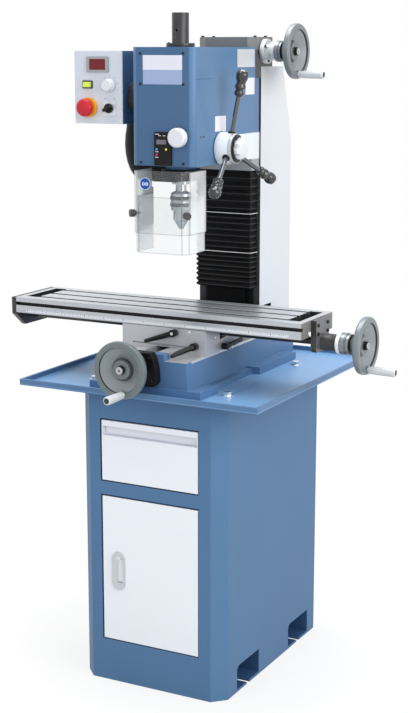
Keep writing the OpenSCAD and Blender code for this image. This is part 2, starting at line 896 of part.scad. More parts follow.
module x_handwheel() color(cast_grey)
    on_x_screw(x_wheel_x)
        handwheel();

module x_dial() color(machined)
    on_x_screw(x_dial_x)
        dial_body(x_dial_l);

module x_handle() color(off_white)
    on_x_screw(x_wheel_x)
        translate([-handle_r, 0, wheel_hub_l + 1.3])
            handle_grip();

// ---------------------------------------------------------------- column

rail_half = 46;
rail_root = 40;
rail_deep = 18;
rail_slot = 17;
z_axis_y = col_front + z_screw_back;
gear_front = col_front - 20;
gear_rear = col_front + 57;
gear_chamfer = 25;
gear_apron_z = col_top - 24;
rail_top = gear_apron_z;
rail_bottom = way_z + way_h + 8;

module column() color(off_white)
difference() {
    union() {
        translate([-col_half, 0, way_z])
            rotate([90, 0, 90])
                linear_extrude(2 * col_half)
                    polygon([[col_front, 0], [col_rear, 0], [col_rear, col_lean_h], [col_rear - col_lean, col_h], [col_front, col_h]]);
        for (s = [0, 1])
            mirror([s, 0, 0])
                translate([0, 0, rail_bottom])
                    linear_extrude(rail_top - rail_bottom)
                        polygon([
                            [rail_slot, col_front], [rail_root, col_front],
                            [rail_half, col_front - rail_deep], [rail_slot, col_front - rail_deep]
                        ]);
    }
    translate([-col_half + col_wall, 0, way_z])
        rotate([90, 0, 90])
            linear_extrude(2 * (col_half - col_wall))
                polygon([
                    [col_front + 10, 16], [col_rear - col_wall, 16], [col_rear - col_wall, col_lean_h - 2],
                    [col_rear - col_lean - col_wall, col_h - 12], [col_front + 10, col_h - 12]
                ]);
    block([-rail_slot, col_front - rail_deep - 1, way_z + 16], [rail_slot, col_front + 11, gear_apron_z]);
    z_rod([0, z_axis_y, way_z + 4], z_journal_r + run_fit, 20);
    z_rod([0, z_axis_y, gear_apron_z - 1], z_screw_r + run_fit, col_top - gear_apron_z + 2);
}

// ---------------------------------------------------------------- elevating screw, gearbox and handwheel

z_journal_r = 7;
shaft_z = col_top + 33;
gear_r = 22;
gear_face = 10;
gear_gap = 0.3;

// Bevel gear blank, its small end at the origin and its collar at the far end
module bevel_gear() {
    big_r = gear_r - gear_gap;
    rotate_extrude()
        polygon([[0, 0], [big_r - gear_face, 0], [big_r, gear_face], [big_r, gear_face + 5], [0, gear_face + 5]]);
}

module z_screw() color(machined) {
    z_rod([0, z_axis_y, way_z + 6], z_journal_r, 12);
    z_rod([0, z_axis_y, way_z + 17], z_screw_r, shaft_z - gear_r - way_z - 17);
    translate([0, z_axis_y, shaft_z - gear_r + gear_face])
        rotate([180, 0, 0])
            bevel_gear();
}

module gear_plan(grow) {
    polygon([
        [-col_half + gear_chamfer + grow * 0.4, gear_front + grow], [col_half - gear_chamfer - grow * 0.4, gear_front + grow],
        [col_half - grow, col_front + grow * 0.4], [col_half - grow, gear_rear - grow],
        [-col_half + grow, gear_rear - grow], [-col_half + grow, col_front + grow * 0.4]
    ]);
}

module z_gearbox() {
    color([0.4, 0.4, 0.41])
        gearbox_cap();
    color(machined)
        bearing_flange();
}

module gearbox_cap()
difference() {
    union() {
        translate([0, 0, col_top])
            linear_extrude(gearbox_h)
                gear_plan(0);
        intersection() {
            translate([0, 0, gear_apron_z])
                linear_extrude(gearbox_h)
                    gear_plan(0);
            block([-col_half - 1, gear_front - 1, gear_apron_z - 1], [col_half + 1, col_front, col_top + 1]);
        }
    }
    translate([0, 0, col_top - 1])
        linear_extrude(gearbox_h - 7)
            intersection() {
                gear_plan(8);
                translate([-col_half, col_front - 10])
                    square([2 * col_half, 60]);
            }
    x_rod([col_half - 20, z_axis_y, shaft_z], screw_r + run_fit, 40);
}

z_flange_t = 10;
z_flange_r = 27;
z_neck_l = 10;
z_dial_x = col_half + z_flange_t + z_neck_l + 0.3 + 12;
z_dial_l = 14;
z_wheel_x = z_dial_x + z_dial_l + 1.5;

module bearing_flange()
difference() {
    union() {
        x_rod([col_half, z_axis_y, shaft_z], z_flange_r, z_flange_t);
        x_rod([col_half + z_flange_t, z_axis_y, shaft_z], 17, z_neck_l);
        x_rod([col_half + z_flange_t + z_neck_l - 2, z_axis_y, shaft_z], 20, 12);
    }
    x_rod([col_half - 1, z_axis_y, shaft_z], screw_r + run_fit, 60);
}

module on_z_shaft(x) {
    translate([x, z_axis_y, shaft_z])
        rotate([0, 90, 0])
            mirror([1, 0, 0])
                children();
}

module z_shaft() color(machined) {
    on_z_shaft(gear_r)
        feed_screw(z_wheel_x + wheel_hub_l - 2 - gear_r, screw_r);
    on_z_shaft(gear_r - gear_face)
        bevel_gear();
}

module z_handwheel() color(cast_grey)
    on_z_shaft(z_wheel_x)
        handwheel();

module z_dial() color(machined)
    on_z_shaft(z_dial_x)
        dial_body(z_dial_l);

module z_handle() color(off_white)
    on_z_shaft(z_wheel_x)
        translate([-handle_r, 0, wheel_hub_l + 1.3])
            handle_grip();

// ---------------------------------------------------------------- bellows and way cover

cover_t = 2.5;
cover_half = 110;
cover_z = table_z + 4;
cover_deep = 46;
cover_drop = 16;
cover_ear_l = 26;
cover_ear_h = 10.5;
cover_ear_y = 8;
bellows_half = 71.5;
bellows_front = col_front - 32;
bellows_z0 = table_top + 11;
bellows_z1 = head_z - 26;
pleat_h = (bellows_z1 - bellows_z0) / pleat_count;

// Rubber apron from the column's front, with its front edge hanging down
module way_cover() color(rubber) {
    cover_apron();
    // upturned corner at the right
    translate([cover_half - cover_ear_l, col_front - cover_ear_y, cover_z + cover_t - 0.5])
        rotate([90, 0, 0])
            linear_extrude(cover_t)
                polygon([[0, 0], [cover_ear_l, 0], [cover_ear_l, cover_ear_h]]);
}

module cover_apron()
difference() {
    translate([-cover_half, col_front - cover_deep, cover_z])
        rotate([90, 0, 90])
            linear_extrude(2 * cover_half)
                difference() {
                    union() {
                        translate([cover_drop, 0])
                            square([cover_deep - cover_drop, cover_t]);
                        translate([cover_drop, cover_t - cover_drop])
                            circle(cover_drop);
                    }
                    translate([cover_drop, cover_t - cover_drop])
                        circle(cover_drop - cover_t);
                    translate([0, -2 * cover_drop])
                        square([2 * cover_drop, cover_drop + cover_t]);
                    translate([cover_drop, -cover_drop])
                        square([cover_drop + 1, cover_drop]);
                }
    translate([0, 0, cover_z - 1])
        linear_extrude(cover_t + 2)
            polygon([
                [-rail_root - 1, col_front + 1], [rail_root + 1, col_front + 1],
                [rail_half + 1, col_front - rail_deep - 1], [-rail_half - 1, col_front - rail_deep - 1]
            ]);
}

// Zigzag edge of the pleats: points run up at a base distance and a peak distance
function zigzag(inner, outer) = [
    for (i = [0:pleat_count - 1], k = [0, 1])
        [k == 0 ? inner : outer, bellows_z0 + (i + k / 2) * pleat_h]
];

module bellows() color(rubber)
difference() {
    intersection() {
        translate([-bellows_half - 1, 0, 0])
            rotate([90, 0, 90])
                linear_extrude(2 * bellows_half + 2)
                    polygon(concat(
                        [[slide_back, bellows_z0]],
                        zigzag(bellows_front + pleat_deep, bellows_front),
                        [[bellows_front + pleat_deep, bellows_z1], [slide_back, bellows_z1]]
                    ));
        translate([0, col_front + 1, 0])
            rotate([90, 0, 0])
                linear_extrude(60)
                    polygon(concat(
                        zigzag(bellows_half - pleat_deep, bellows_half),
                        [[bellows_half - pleat_deep, bellows_z1], [pleat_deep - bellows_half, bellows_z1]],
                        [for (i = [2 * pleat_count - 1:-1:0])
                            let (q = zigzag(bellows_half - pleat_deep, bellows_half)[i])
                                [-q[0], q[1]]]
                    ));
    }
    block([-rail_half - 4, bellows_front + pleat_deep + 3, bellows_z0 - 1], [rail_half + 4, col_front + 1, bellows_z1 + 1]);
}

// ---------------------------------------------------------------- vertical slide

slide_top = gear_apron_z - 0.5;
slide_step = head_z + 58;
slide_back = col_front - 0.3;
tongue_half = 56;
tongue_front = col_front - 38;
slide_front = 15;

module z_slide() color(off_white)
difference() {
    union() {
        block([-head_half, slide_front, head_z], [head_half, slide_back, slide_step]);
        block([-head_half, tongue_front, bellows_z1], [head_half, slide_back, head_z + 1]);
        block([-tongue_half, tongue_front, slide_step - 1], [tongue_half, slide_back, slide_top]);
        block([-rail_slot + 2, col_front - rail_deep - 1, slide_step - 20], [rail_slot - 2, z_axis_y + 15, slide_step + 20]);
    }
    difference() {
        translate([0, 0, bellows_z1 - 1])
            linear_extrude(slide_top - bellows_z1 + 2)
                polygon([
                    [-rail_root - slide_fit, col_front + 1], [rail_root + slide_fit, col_front + 1], [rail_root + slide_fit, col_front],
                    [rail_half + slide_fit, col_front - rail_deep - slide_fit],
                    [-rail_half - slide_fit, col_front - rail_deep - slide_fit], [-rail_root - slide_fit, col_front]
                ]);
        block([-rail_slot + 2, col_front - rail_deep - 1, slide_step - 20], [rail_slot - 2, z_axis_y + 15, slide_step + 20]);
    }
    z_rod([0, z_axis_y, head_z], z_screw_r + run_fit, head_h);
}

// ---------------------------------------------------------------- head

head_wall = 10;
head_rear_top = gear_front - 3.5;
head_rear = col_front - 3;
boss_r = 32;
boss_h = 27;
quill_guide_r = 36;
pinion_r = 14.5;
capstan_y = spindle_y + quill_r + pinion_r + gear_gap;
capstan_z = head_z + 33;
fine_x = 44;
fine_z = head_z + 61;
fine_shaft_r = 6;
capstan_shaft_r = 10;
quill_top = head_top - 40;
quill_bottom = head_z - 35;

module head_outline(y1) {
    r = head_edge_r;
    translate([-head_half, head_front + r])
        square([2 * head_half, y1 - head_front - r]);
    translate([-head_half + r, head_front])
        square([2 * (head_half - r), 2 * r]);
    for (s = [-1, 1])
        translate([s * (head_half - r), head_front + r])
            circle(r);
}

module head_casting() color(blue)
difference() {
    union() {
        difference() {
            union() {
                translate([0, 0, head_z])
                    linear_extrude(slide_step - head_z + 1)
                        head_outline(slide_front);
                translate([0, 0, slide_step])
                    linear_extrude(slide_top - slide_step)
                        head_outline(head_rear);
                translate([0, 0, slide_top])
                    linear_extrude(head_top - slide_top)
                        head_outline(head_rear_top);
            }
            // sealed space round the spindle drive
            block([-head_half + head_wall, head_front + head_wall, head_z + head_wall],
                  [head_half - head_wall, slide_front - head_wall, head_top - head_wall]);
            block([-head_half + head_wall, slide_front - head_wall - 1, slide_step + head_wall],
                  [head_half - head_wall, tongue_front - head_wall, head_top - head_wall]);
        }
        z_rod([0, spindle_y, head_z - boss_h], boss_r, boss_h + 1);
        z_rod([0, spindle_y, head_z], quill_guide_r, head_h);
        x_rod([head_half - head_wall - 10, capstan_y, capstan_z], 20, 20);
        y_rod([fine_x, head_front + 24, fine_z], 12, 20);
    }
    block([-tongue_half, tongue_front, slide_step - 1], [tongue_half, head_rear + 1, slide_top]);
    z_rod([0, spindle_y, head_z - boss_h - 1], quill_r + run_fit, quill_top - head_z + boss_h + 6);
    z_rod([0, spindle_y, head_z], spindle_r + 1, head_h + 1);
    x_rod([-pinion_l / 2 - 1, capstan_y, capstan_z], pinion_r + 1, pinion_l + 2);
    x_rod([0, capstan_y, capstan_z], capstan_shaft_r + run_fit, head_half + 1);
    y_rod([fine_x, head_front + 26, fine_z], fine_shaft_r + run_fit, 40);
}

cover_plate_t = 3;
cover_half_w = 60.5;

module front_cover() color(blue)
difference() {
    block([-cover_half_w, head_front - cover_plate_t, head_z + 0.5], [cover_half_w, head_front, head_top]);
    y_rod([fine_x, head_front + 1, fine_z], fine_shaft_r + run_fit, 10);
}

readout_x = 4;
readout_z = head_z + 36.5;
readout_w = 40;
readout_h = 69;
readout_t = 5;

module depth_readout() color(dark)
translate([readout_x, head_front - cover_plate_t, readout_z])
    rotate([90, 0, 0])
        difference() {
            union() {
                linear_extrude(readout_t)
                    round_plan(readout_w, readout_h, 2.5);
                for (k = [[-13.5, -1], [9, -1], [-13.5, -12.5]])
                    translate([k[0], k[1], 0])
                        cylinder(r = 2.6, h = readout_t + 0.8);
            }
            translate([-readout_w / 2 + 5, 9, readout_t - 0.8])
                cube([24, 10, 2]);
        }

knob_fine_r = 20;

module fine_feed_knob() color(off_white)
translate([fine_x, head_front - cover_plate_t, fine_z])
    rotate([90, 0, 0]) {
        translate([0, 0, -20])
            cylinder(r = fine_shaft_r, h = 24);
        translate([0, 0, readout_t + 1.6])
            rotate_extrude($fn = 72)
                polygon([
                    [0, -4], [9, -4], [9, 0], [knob_fine_r - 1, 0], [knob_fine_r, 1], [knob_fine_r, 12],
                    [knob_fine_r - 0.8, 14.2], [knob_fine_r - 2.5, 15.6], [knob_fine_r - 5, 16], [0, 16]
                ]);
    }

motor_at = [-132, -15];
motor_z = head_z - 49;
belt_box_half = 28;
belt_box_z = 90;
belt_box_h = 60;

module motor() color(dark) {
    translate([motor_at[0], motor_at[1], motor_z])
        rotate_extrude($fn = 72)
            polygon([
                [0, 0], [18, 1], [28, 6], [37, 15], [44, 26], [50, 43], [53.5, 60], [55, 80],
                [54, 100], [51, 120], [50, 135], [50, 160], [47, 166], [0, 166]
            ]);
    block([motor_at[0] + 40, motor_at[1] - belt_box_half, motor_z + belt_box_z],
          [-head_half, motor_at[1] + belt_box_half, motor_z + belt_box_z + belt_box_h]);
}

tube_r = 18;
flange_r = 30;
tube_h = 70;

module drawbar_cover() color(dark)
translate([0, spindle_y, head_top])
    difference() {
        union() {
            cylinder(r = flange_r, h = 8);
            cylinder(r = tube_r, h = tube_h);
        }
        translate([0, 0, -1])
            cylinder(r = tube_r - 3, h = tube_h - 3);
        translate([0, 0, 34])
            rotate([90, 0, 0])
                cylinder(r = 2.5, h = 30);
    }

// ---------------------------------------------------------------- control box

box_x1 = -head_half - 34;
box_x0 = box_x1 - box_w;
box_z0 = head_z + 83;
box_front = head_front + 22;
panel_t = 2.5;
boss_at = [spindle_y - 3, box_z0 + 55];
panel_x = (box_x0 + box_x1) / 2;

module control_box() color(blue)
difference() {
    union() {
        block([box_x0, panel_y, box_z0], [box_x1, box_front + box_d, box_z0 + box_h]);
        x_rod([box_x1 - 1, boss_at[0], boss_at[1]], 36, -head_half - box_x1 + 1);
    }
    for (b = [[estop_x, estop_z, 8], [start_x, start_z, 5], [speed_x, speed_z, 3], [mode_x, mode_z, 4]])
        y_rod([b[0], box_front + 22, b[1]], b[2] + 0.3, 30);
}

panel_y = box_front - panel_t;
display_z = box_z0 + 124;
start_x = panel_x - 26;
start_z = box_z0 + 82;
speed_x = panel_x + 28.5;
speed_z = box_z0 + 81;
estop_x = panel_x - 23;
estop_z = box_z0 + 34;
mode_x = panel_x + 28;
mode_z = box_z0 + 33;

// Display frame and the frames round the controls
module panel_fittings() color(cast_grey)
translate([0, panel_y, 0])
    rotate([90, 0, 0]) {
        translate([panel_x, display_z, 0])
            difference() {
                linear_extrude(4)
                    round_plan(54, 33, 2);
                translate([-20, -11.5, 2.6])
                    cube([40, 23, 3]);
            }
        translate([start_x, start_z])
            linear_extrude(2.2)
                difference() {
                    round_plan(25, 17, 2);
                    round_plan(start_w + 0.8, start_h + 0.8, 1.6);
                }
        translate([mode_x, mode_z])
            difference() {
                linear_extrude(3)
                    round_plan(32, 31, 2);
                translate([0, 0, -1])
                    cylinder(r = 4.3, h = 6);
            }
        translate([estop_x, estop_z])
            difference() {
                cylinder(r = 20.5, h = 9);
                translate([0, 0, -1])
                    cylinder(r = 8.3, h = 12);
            }
    }

start_w = 19;
start_h = 11;

module start_button() color([0.6, 0.85, 0.1])
translate([start_x, panel_y, start_z])
    rotate([90, 0, 0]) {
        translate([0, 0, 2.4])
            linear_extrude(3)
                round_plan(start_w, start_h, 1.5);
        translate([0, 0, -12])
            cylinder(r = 5, h = 15);
    }

module estop_button() color([0.8, 0.1, 0.15])
translate([estop_x, panel_y, estop_z])
    rotate([90, 0, 0]) {
        translate([0, 0, -14])
            cylinder(r = 8, h = 30);
        translate([0, 0, 14])
            rotate_extrude()
                polygon([[0, 0], [16, 0], [18.5, 1.5], [19, 4], [18.8, 8], [17.5, 11], [14, 13.5], [8, 15], [0, 15.5]]);
    }

module speed_knob() color(off_white)
translate([speed_x, panel_y, speed_z])
    rotate([90, 0, 0]) {
        translate([0, 0, -12])
            cylinder(r = 3, h = 14);
        difference() {
            translate([0, 0, 1])
                rotate_extrude()
                    polygon([[0, 0], [14, 0], [14, 5], [12.5, 7], [12, 14], [11, 15.5], [0, 15.5]]);
            for (i = [0:11])
                rotate([0, 0, i * 30 + 15])
                    translate([13.6, 0, 8])
                        cylinder(r = 2, h = 12);
        }
    }

module mode_switch() color(dark)
translate([mode_x, panel_y, mode_z])
    rotate([90, 0, 0]) {
        translate([0, 0, -12])
            cylinder(r = 4, h = 16);
        translate([0, 0, 3.3])
            cylinder(r = 10, h = 5);
        rotate([0, 0, 30])
            translate([-10, -3, 8])
                cube([20, 6, 9]);
    }

// ---------------------------------------------------------------- quill feed

pinion_l = 24;
hub_x = head_half + 0.4;
hub_l = 34;
lever_tilt = 12.4;
lever_root_x = hub_x + 20;
rod_r = 5;
grip_l = 56;

rod_start = 20;
knob_stem_l = 12;
feed_knob_x = hub_x + hub_l + 2.3;

// Children along each lever's own axis
module at_levers() {
    for (i = [0:lever_count - 1])
        translate([lever_root_x, capstan_y, capstan_z])
            rotate([lever_phase + i * 360 / lever_count, 0, 0])
                rotate([0, lever_tilt, 0])
                    translate([0, 0, rod_start])
                        children();
}

module capstan_hub() color(off_white)
difference() {
    union() {
        translate([hub_x, capstan_y, capstan_z])
            rotate([0, 90, 0])
                rotate_extrude($fn = 72)
                    polygon([
                        [0, 0], [30, 0], [34, 2], [35, 8], [34.5, 16], [33.5, 24], [33, hub_l], [31, hub_l + 5],
                        [19, hub_l + 5], [19, hub_l + 2], [0, hub_l + 2]
                    ]);
        x_rod([pinion_l / 2, capstan_y, capstan_z], capstan_shaft_r, hub_x - pinion_l / 2 + 1);
        x_rod([-pinion_l / 2, capstan_y, capstan_z], pinion_r, pinion_l);
    }
    at_levers()
        cylinder(r = rod_r, h = 30);
    x_rod([feed_knob_x - knob_stem_l - 1, capstan_y, capstan_z], feed_stem_r + run_fit, knob_stem_l + 4);
}

// Rods with moulded grips
module quill_levers() color(dark)
at_levers() {
    cylinder(r = rod_r, h = lever_l - grip_l - rod_start + 4);
    translate([0, 0, lever_l - grip_l - rod_start])
        rotate_extrude()
            polygon([
                [0, 0], [7, 0], [9, 2], [10.6, 5], [10.6, 7.5], [9, 10.5], [8.2, 12.5], [9.4, 15], [11.4, 18],
                [11.8, 20.5], [10.6, 24], [9.2, 27], [10.2, 31], [12.2, 36], [13.2, 41], [13.2, 46],
                [12.2, 50], [9.4, 53.6], [5.4, 55.4], [0, grip_l]
            ]);
}

feed_stem_r = 5;

module feed_knob() color(off_white)
translate([feed_knob_x, capstan_y, capstan_z])
    rotate([0, 90, 0])
        difference() {
            union() {
                rotate_extrude($fn = 72)
                    polygon([[0, 0], [13, 0], [13, 4], [22, 6], [23.5, 9], [23.5, 14], [21, 17], [12, 20], [0, 20]]);
                translate([0, 0, -knob_stem_l])
                    cylinder(r = feed_stem_r, h = knob_stem_l + 1);
            }
            for (i = [0:6])
                rotate([0, 0, i * 360 / 7])
                    translate([25.8, 0, 4])
                        cylinder(r = 7, h = 20);
        }

// ---------------------------------------------------------------- quill, spindle and chuck

spindle_r = 12;
nose_top = quill_bottom - 0.3;

module quill() color(machined)
difference() {
    z_rod([0, spindle_y, quill_bottom], quill_r, quill_top - quill_bottom);
    z_rod([0, spindle_y, quill_bottom - 1], spindle_r + run_fit, quill_top - quill_bottom + 2);
}

arbor_z = head_z - 57;

module spindle() color(machined) {
    z_rod([0, spindle_y, nose_top - 7], 20, 7);
    z_rod([0, spindle_y, nose_top - 1], spindle_r, head_top + 10 - nose_top);
    z_rod([0, spindle_y, arbor_z], 11.5, nose_top - 7 - arbor_z);
}

chuck_z = arbor_z;

module drill_chuck() color(cast_grey)
translate([0, spindle_y, chuck_z])
    rotate([180, 0, 0])
        rotate_extrude($fn = 72)
            polygon([
                [0, 0], [12, 0], [18, 3], [chuck_r - 1, 5.5], [chuck_r - 1, 11], [chuck_r, 11.5], [chuck_r, 19],
                [chuck_r - 1, 19.5], [chuck_r - 1, 25], [chuck_r, 25.5], [chuck_r, 33], [chuck_r - 1, 33.5], [chuck_r - 1.5, 41],
                [17, 42], [17, 62], [15, 64], [5, 81], [2.6, 82], [2.6, 70], [0, 70]
            ]);

// ---------------------------------------------------------------- chuck guard

guard_top = head_z - 9;
guard_z0 = guard_top - guard_h;
guard_front = spindle_y - 95;
guard_back = spindle_y - 12;
guard_chamfer = 13.5;
hinge_post_r = 4;
hinge_barrel_r = 7;
hinge_barrel_h = 78;
hinge_barrel_z = guard_z0 + 11;
post_at = [-guard_half - 9, spindle_y - 1];
ring_r = 42;
ring_z = head_z - 34;
ring_h = 24;

module guard_bracket() color(dark)
difference() {
    union() {
        z_rod([0, spindle_y, ring_z], ring_r, ring_h);
        block([post_at[0] - 8, post_at[1] - 8, ring_z], [-20, post_at[1] + 8, ring_z + ring_h]);
        block([-34, spindle_y - 60, ring_z], [22, spindle_y - 30, ring_z + 11]);
        z_rod([post_at[0], post_at[1], hinge_barrel_z - 1], hinge_post_r, ring_z - hinge_barrel_z + 2);
        z_rod([post_at[0], post_at[1], hinge_barrel_z - 3.3], hinge_post_r + 2, 3);
    }
    z_rod([0, spindle_y, ring_z - 1], boss_r, ring_h + 2);
}

module guard_section(inset, past) {
    w = guard_half - inset;
    f = guard_front + inset;
    c = guard_chamfer - (2 - sqrt(2)) * inset;
    polygon([
        [-w, guard_back + past], [-w, f + c], [-w + c, f], [w - c, f], [w, f + c], [w, guard_back + past]
    ]);
}

// A wall that follows the guard's outline, open at the back
module guard_wall(inset) {
    difference() {
        guard_section(inset, 0);
        guard_section(inset + guard_t, 1);
    }
}

module guard_knob_holes(r) {
    for (s = [-1, 1])
        knob_place(s)
            cylinder(r = r, h = 30, center = true);
}

// The clamp knobs stand square to the cut front corners
module knob_place(s) {
    translate([s * (guard_half - guard_chamfer / 2), guard_front + guard_chamfer / 2, guard_z0 + 42])
        rotate([90, 0, s * 45])
            children();
}

module guard_shield() color(clear)
difference() {
    translate([0, 0, guard_z0])
        linear_extrude(guard_h)
            guard_wall(0);
    guard_knob_holes(knob_stem_r + 0.3);
}

panel_top = guard_z0 + 78;

module guard_panel() color(clear)
difference() {
    translate([0, 0, guard_z0 - guard_drop])
        linear_extrude(panel_top - guard_z0 + guard_drop)
            guard_wall(guard_t + 0.3);
    // slots that run past the clamp knobs
    for (s = [-1, 1])
        knob_place(s) {
            translate([0, 0, -20])
                linear_extrude(40) {
                    circle(knob_stem_r + 0.3);
                    translate([-knob_stem_r - 0.3, -panel_travel])
                        square([2 * knob_stem_r + 0.6, panel_travel]);
                    translate([0, -panel_travel])
                        circle(knob_stem_r + 0.3);
                }
        }
}

knob_stem_r = 2.5;

module guard_knob(s)
knob_place(s) {
    translate([0, 0, -10])
        cylinder(r = knob_stem_r, h = 14);
    translate([0, 0, 0.4])
        cylinder(r = 5, h = 2);
    difference() {
        translate([0, 0, 2.4])
            cylinder(r = 8, h = 11);
        for (i = [0:9])
            rotate([0, 0, i * 36])
                translate([8.6, 0, 2])
                    cylinder(r = 1.3, h = 12);
    }
}

module guard_knob_left() color(dark) guard_knob(-1);

module guard_knob_right() color(dark) guard_knob(1);

module guard_hinge_plate() color(machined)
difference() {
    union() {
        block([-guard_half - 3, guard_back - 32, hinge_barrel_z], [-guard_half, post_at[1], hinge_barrel_z + hinge_barrel_h]);
        z_rod([post_at[0], post_at[1], hinge_barrel_z], hinge_barrel_r, hinge_barrel_h);
    }
    z_rod([post_at[0], post_at[1], hinge_barrel_z - 1], hinge_post_r + run_fit, hinge_barrel_h + 2);
}

// ---------------------------------------------------------------- all nodes

stand_cabinet();
door_hinges();
stand_door();
latch_plate();
latch_lever();
drawer();
drawer_runners();
chip_tray();
tray_bolts();
base_casting();
y_bearing_plate();
y_screw();
y_handwheel();
y_dial();
y_handle();
saddle();
table_clamp();
saddle_clamp();
side_clamp();
table();
table_end_plates();
x_screw();
x_handwheel();
x_dial();
x_handle();
column();
z_screw();
z_gearbox();
z_shaft();
z_handwheel();
z_dial();
z_handle();
way_cover();
bellows();
z_slide();
head_casting();
front_cover();
depth_readout();
fine_feed_knob();
motor();
drawbar_cover();
control_box();
panel_fittings();
start_button();
estop_button();
speed_knob();
mode_switch();
capstan_hub();
quill_levers();
feed_knob();
quill();
spindle();
drill_chuck();
guard_bracket();
guard_hinge_plate();
guard_shield();
guard_panel();
guard_knob_left();
guard_knob_right();
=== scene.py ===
"""Mill drill on a cabinet stand: the looks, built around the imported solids.

Sizes are in millimetres in the frame of the solids: X to the right, Y to the back, Z up.
"""

import logging
import math
from collections.abc import Iterable, Sequence
from dataclasses import dataclass, replace
from enum import Enum

import bmesh
import bpy
from mathutils import Matrix, Vector


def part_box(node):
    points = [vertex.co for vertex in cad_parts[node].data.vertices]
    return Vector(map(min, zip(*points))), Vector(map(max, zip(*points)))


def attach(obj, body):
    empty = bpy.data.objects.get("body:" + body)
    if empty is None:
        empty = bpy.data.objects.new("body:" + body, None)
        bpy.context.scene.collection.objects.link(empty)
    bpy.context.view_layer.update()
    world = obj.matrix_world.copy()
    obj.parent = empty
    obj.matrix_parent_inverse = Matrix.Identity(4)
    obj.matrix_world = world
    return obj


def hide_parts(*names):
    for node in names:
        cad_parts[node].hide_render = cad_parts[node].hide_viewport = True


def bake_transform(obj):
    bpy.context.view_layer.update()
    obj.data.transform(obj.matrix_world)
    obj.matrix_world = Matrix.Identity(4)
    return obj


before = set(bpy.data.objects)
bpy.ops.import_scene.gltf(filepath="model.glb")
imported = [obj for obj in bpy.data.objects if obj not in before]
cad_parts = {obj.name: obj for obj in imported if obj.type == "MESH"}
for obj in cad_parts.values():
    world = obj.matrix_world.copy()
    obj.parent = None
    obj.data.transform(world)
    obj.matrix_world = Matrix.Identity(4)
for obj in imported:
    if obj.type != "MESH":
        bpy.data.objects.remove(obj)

logging.basicConfig(level=logging.INFO, format="%(message)s")
LOG = logging.getLogger("mill_drill")

MM = 0.001
SMALL = 1e-4
MARGIN = 1.0
QUARTER = math.pi / 2
Point = tuple[float, float, float]
Plan = tuple[float, float]
Socket = bpy.types.NodeSocket
Edges = list[bmesh.types.BMEdge]


# ---------------------------------------------------------------- places


class Facing(Enum):
    """The way a piece's own +Z looks, with its own X and Y as seen by someone who faces it."""

    UP = ((1, 0, 0), (0, 1, 0), (0, 0, 1))
    DOWN = ((1, 0, 0), (0, -1, 0), (0, 0, -1))
    FRONT = ((1, 0, 0), (0, 0, 1), (0, -1, 0))
    RIGHT = ((0, 1, 0), (0, 0, 1), (1, 0, 0))
    LEFT = ((0, -1, 0), (0, 0, 1), (-1, 0, 0))

    def matrix(self, at: Point, turn: float = 0.0) -> Matrix:
        """Gives the placing matrix.

        Args:
            at: Where the piece's origin goes.
            turn: Degrees turned about the piece's own Z.

        Returns:
            The matrix from the piece's own space to the frame, both in millimetres.
        """
        basis = Matrix([Vector(column) for column in self.value]).transposed().to_4x4()
        return Matrix.Translation(Vector(at)) @ basis @ Matrix.Rotation(math.radians(turn), 4, "Z")


def low(node: str) -> Vector:
    """Gives a node's lowest corner in millimetres."""
    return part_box(node)[0] / MM


def high(node: str) -> Vector:
    """Gives a node's highest corner in millimetres."""
    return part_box(node)[1] / MM


def round_spots(count: int, first: float, radius: float) -> list[Plan]:
    """Gives spots spread evenly round a circle, the first at an angle in degrees."""
    turns = [math.radians(first + 360 * number / count) for number in range(count)]
    return [(radius * math.cos(turn), radius * math.sin(turn)) for turn in turns]


def rib_spot(number: int, count: int, radius: float, along: float) -> Matrix:
    """Gives the place of one of many small plates round a turned part.

    Args:
        number: Which of them it is.
        count: How many go round.
        radius: How far its back lies from the axis.
        along: Its station along the axis.

    Returns:
        The matrix in the turned part's own space, whose Z is the axis.
    """
    turn = Matrix.Rotation(math.tau * number / count, 4, "Z")
    return turn @ Matrix.Translation((radius, 0, along)) @ Matrix.Rotation(QUARTER, 4, "Y")


# ---------------------------------------------------------------- finishes


@dataclass(frozen=True)
class Colour:
    """A colour as display values from 0 to 255."""

    red: float
    green: float
    blue: float

    def linear(self, light: float = 1.0) -> tuple[float, float, float, float]:
        """Gives the scene-linear colour, its brightness times a factor, as red, green, blue and alpha."""
        shares = (value / 255 for value in (self.red, self.green, self.blue))
        parts = (((share + 0.055) / 1.055) ** 2.4 if share > 0.0404 else share / 12.92 for share in shares)
        return (*(min(1.0, part * light) for part in parts), 1.0)

    def mixed(self, other: "Colour", share: float) -> "Colour":
        """Gives the colour moved towards another one by a share."""
        mine, theirs = (self.red, self.green, self.blue), (other.red, other.green, other.blue)
        return Colour(*(a + (b - a) * share for a, b in zip(mine, theirs)))


